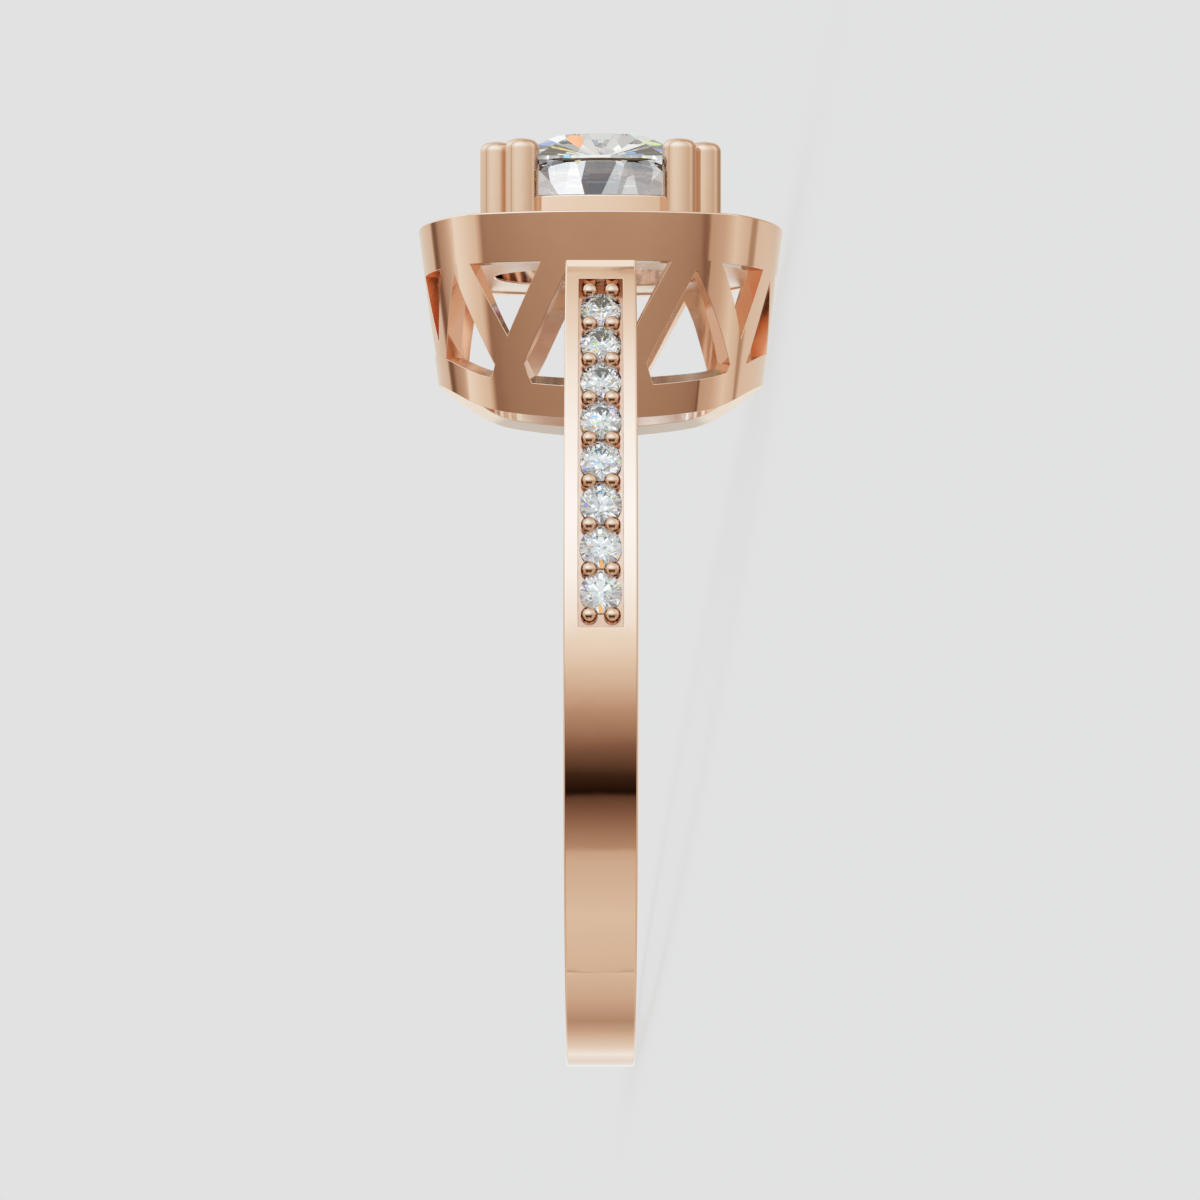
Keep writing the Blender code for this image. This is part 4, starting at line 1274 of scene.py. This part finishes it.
def towards(tree, direction, axis):
    """How much the looked-up direction points along an axis."""
    feeds = {0: direction, 1: axis}
    return add_node(tree, "ShaderNodeVectorMath", feeds, operation="DOT_PRODUCT").outputs["Value"]


def metal_light(tree, up, deep, aside):
    """The light that the metal mirrors, by its height and by how far it is to the side."""
    height = maths(tree, "DEGREES", maths(tree, "ARCSINE", up))
    backwards = [maths(tree, "MULTIPLY", part, -1.0) for part in (aside, deep)]
    facing = maths(tree, "DEGREES", maths(tree, "ARCTAN2", *backwards))
    front = level_ramp(tree, height, FRONT_LEVELS)

    def falling_off(rows):
        share = maths(tree, "MULTIPLY", front, level_ramp(tree, facing, rows))
        return maths(tree, "MULTIPLY", share, TOP_LEVEL)

    side = level_ramp(tree, height, SIDE_LEVELS)
    screens = level_ramp(tree, facing, SCREEN_LEVELS)
    screens = mixed(tree, smooth_step(tree, height, *SCREEN_FOOT), side, screens)
    to_left, to_right = [smooth_step(tree, facing, *angles) for angles in (LEFT_SCREEN, RIGHT_SCREEN)]
    low = mixed(tree, maths(tree, "ADD", to_left, to_right), falling_off(LOW_FALL_OFF), screens)
    level = mixed(tree, smooth_step(tree, height, *HORIZON), low, falling_off(HIGH_FALL_OFF))
    back = smooth_step(tree, maths(tree, "ABSOLUTE", facing), *BACK)
    level = mixed(tree, back, level, level_ramp(tree, height, BACK_LEVELS))
    stops = [(top / TOP_LEVEL, [part / LIGHT_STRENGTH for part in tint]) for top, tint in LIGHT_TINTS]
    return light(tree, ramp(tree, level, stops), LIGHT_STRENGTH)


def studio(place):
    """Pale walls for the camera, soft bands of light for the metal, sparks for the stones."""
    world = bpy.data.worlds.new("studio")
    bpy.context.scene.world = world
    world.use_nodes = True
    tree = world.node_tree
    tree.nodes.clear()
    direction = tree.nodes.new("ShaderNodeTexCoord").outputs["Generated"]
    up, deep, aside = [towards(tree, direction, axis) for axis in ring_axes(place)]
    rays = tree.nodes.new("ShaderNodeLightPath").outputs
    shown = metal_light(tree, up, deep, aside)
    shown = choose(tree, rays["Is Transmission Ray"], shown, sparks(tree, direction))
    shown = choose(tree, rays["Is Diffuse Ray"], shown, light(tree, grey(1.0), 1.0))
    shown = choose(tree, rays["Is Camera Ray"], shown, light(tree, grey(BACKDROP), 1.0))
    add_node(tree, "ShaderNodeOutputWorld", {"Surface": shown})


def light(tree, colour, strength):
    """Light of a colour and strength."""
    feeds = {"Color": colour, "Strength": strength}
    return add_node(tree, "ShaderNodeBackground", feeds).outputs["Background"]


def choose(tree, factor, first, second):
    """The second light where the factor is 1, or else the first."""
    feeds = {"Fac": factor, 1: first, 2: second}
    return add_node(tree, "ShaderNodeMixShader", feeds).outputs["Shader"]


def sparks(tree, direction):
    """What the stones gather: patches of light and dark, with a few coloured flashes."""
    cells = add_node(tree, "ShaderNodeTexVoronoi", {"Scale": SPARK_SCALE, "Vector": direction})
    split = add_node(tree, "ShaderNodeSeparateColor", {"Color": cells.outputs["Color"]}).outputs
    patches = ramp(tree, split["Red"], SPARK_LEVELS)
    hues = ramp(tree, split["Green"], FLASH_HUES)
    flash = smooth_step(tree, split["Blue"], *FLASH_START)
    return light(tree, mixed(tree, flash, patches, hues), SPARK_STRENGTH)


def add_floor():
    """A pale floor under the ring, which runs into the backdrop."""
    bpy.ops.mesh.primitive_plane_add(size=FLOOR_SIZE)
    floor = bpy.context.object
    floor.name = "studio_floor"
    values = {
        "Base Color": grey(FLOOR_SHADE),
        "Emission Color": grey(1.0),
        "Emission Strength": BACKDROP - FLOOR_SHADE,
        "Roughness": 1.0,
        "Specular IOR Level": 0.0,
    }
    floor.data.materials.append(new_finish("studio_floor", values))
    floor.visible_glossy = False
    floor.visible_transmission = False
    floor.visible_diffuse = False


def add_camera(place):
    """Looks along the depth axis, with the head up in the picture as it is worn."""
    data = bpy.data.cameras.new("camera")
    data.lens = CAMERA_LENS
    data.sensor_width = SENSOR_WIDTH
    data.clip_start = CLIP_START * MM
    camera = add_object("camera", data)
    up, deep, aside = ring_axes(place)
    spot = place @ Vector((CAMERA_RISE, -CAMERA_DISTANCE, CAMERA_ASIDE))
    matrix = Matrix((-aside, up, -deep)).transposed().to_4x4()
    matrix.translation = spot
    camera.matrix_world = matrix
    bpy.context.scene.camera = camera


def notch_prongs(prongs, stone):
    """Cuts the centre stone's seat into the prongs."""
    step = prongs.modifiers.new("seat", "BOOLEAN")
    step.operation = "DIFFERENCE"
    step.solver = "EXACT"
    step.object = stone
    return add_object("prongs", smooth_but_sharp(plain_mesh("prongs", prongs)))


def build():
    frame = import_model()
    nodes = frame["nodes"]
    place = ring_place(nodes)
    add_camera(place)
    studio(place)
    bpy.context.scene.view_settings.view_transform = "Standard"
    add_floor()

    polish = hand_polish_group()
    gold = {name: rose_gold(name, polish) for name in GOLD_FINISHES_AND_PAINTED_LIGHT}
    clear = diamond()
    repeat = repeat_tree()

    def in_row(name, mesh, rows, finish):
        return set_in_row(name, repeat, mesh, in_frame(place, rows), finish)

    metal = [basket(place), shank(place), stone_seats(place)]
    # The basket's underside and inner slots take lighter copies of the gold, painted light
    for piece, names in zip(metal, (BASKET_GOLDS_WITH_PAINTED_LIGHT, SHANK_FINISHES, SEAT_PAINTED_SHADE_GOLD)):
        for name in names:
            piece.data.materials.append(gold[name])
    # Prongs and beads take a darker copy of the gold, painted shade
    turned_painted_shade_gold = gold["turned_painted_shade_rose_gold"]
    centre = in_row("centre_brilliant", centre_brilliant(), [(X * STONE_HEIGHT, X, -Z)], clear)
    metal.append(notch_prongs(in_row("prongs", prong_mesh(), prong_rows(), turned_painted_shade_gold), centre))
    stones, beads, _ = channel_turns()
    for name, shape, rows in bead_rows(beads):
        metal.append(in_row(name, bead_mesh(name, **shape), rows, turned_painted_shade_gold))

    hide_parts("ring_metal")
    for piece in metal:
        piece.visible_transmission = False
        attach(piece, "root")

    gems = [(centre, ["centre_stone"])]
    for name, radius, rows, solids in small_stone_rows(stones):
        gems.append((in_row(name, small_brilliant(radius), rows, clear), solids))
    for piece, stood_for in gems:
        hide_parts(*stood_for)
        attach(piece, "root")


build()
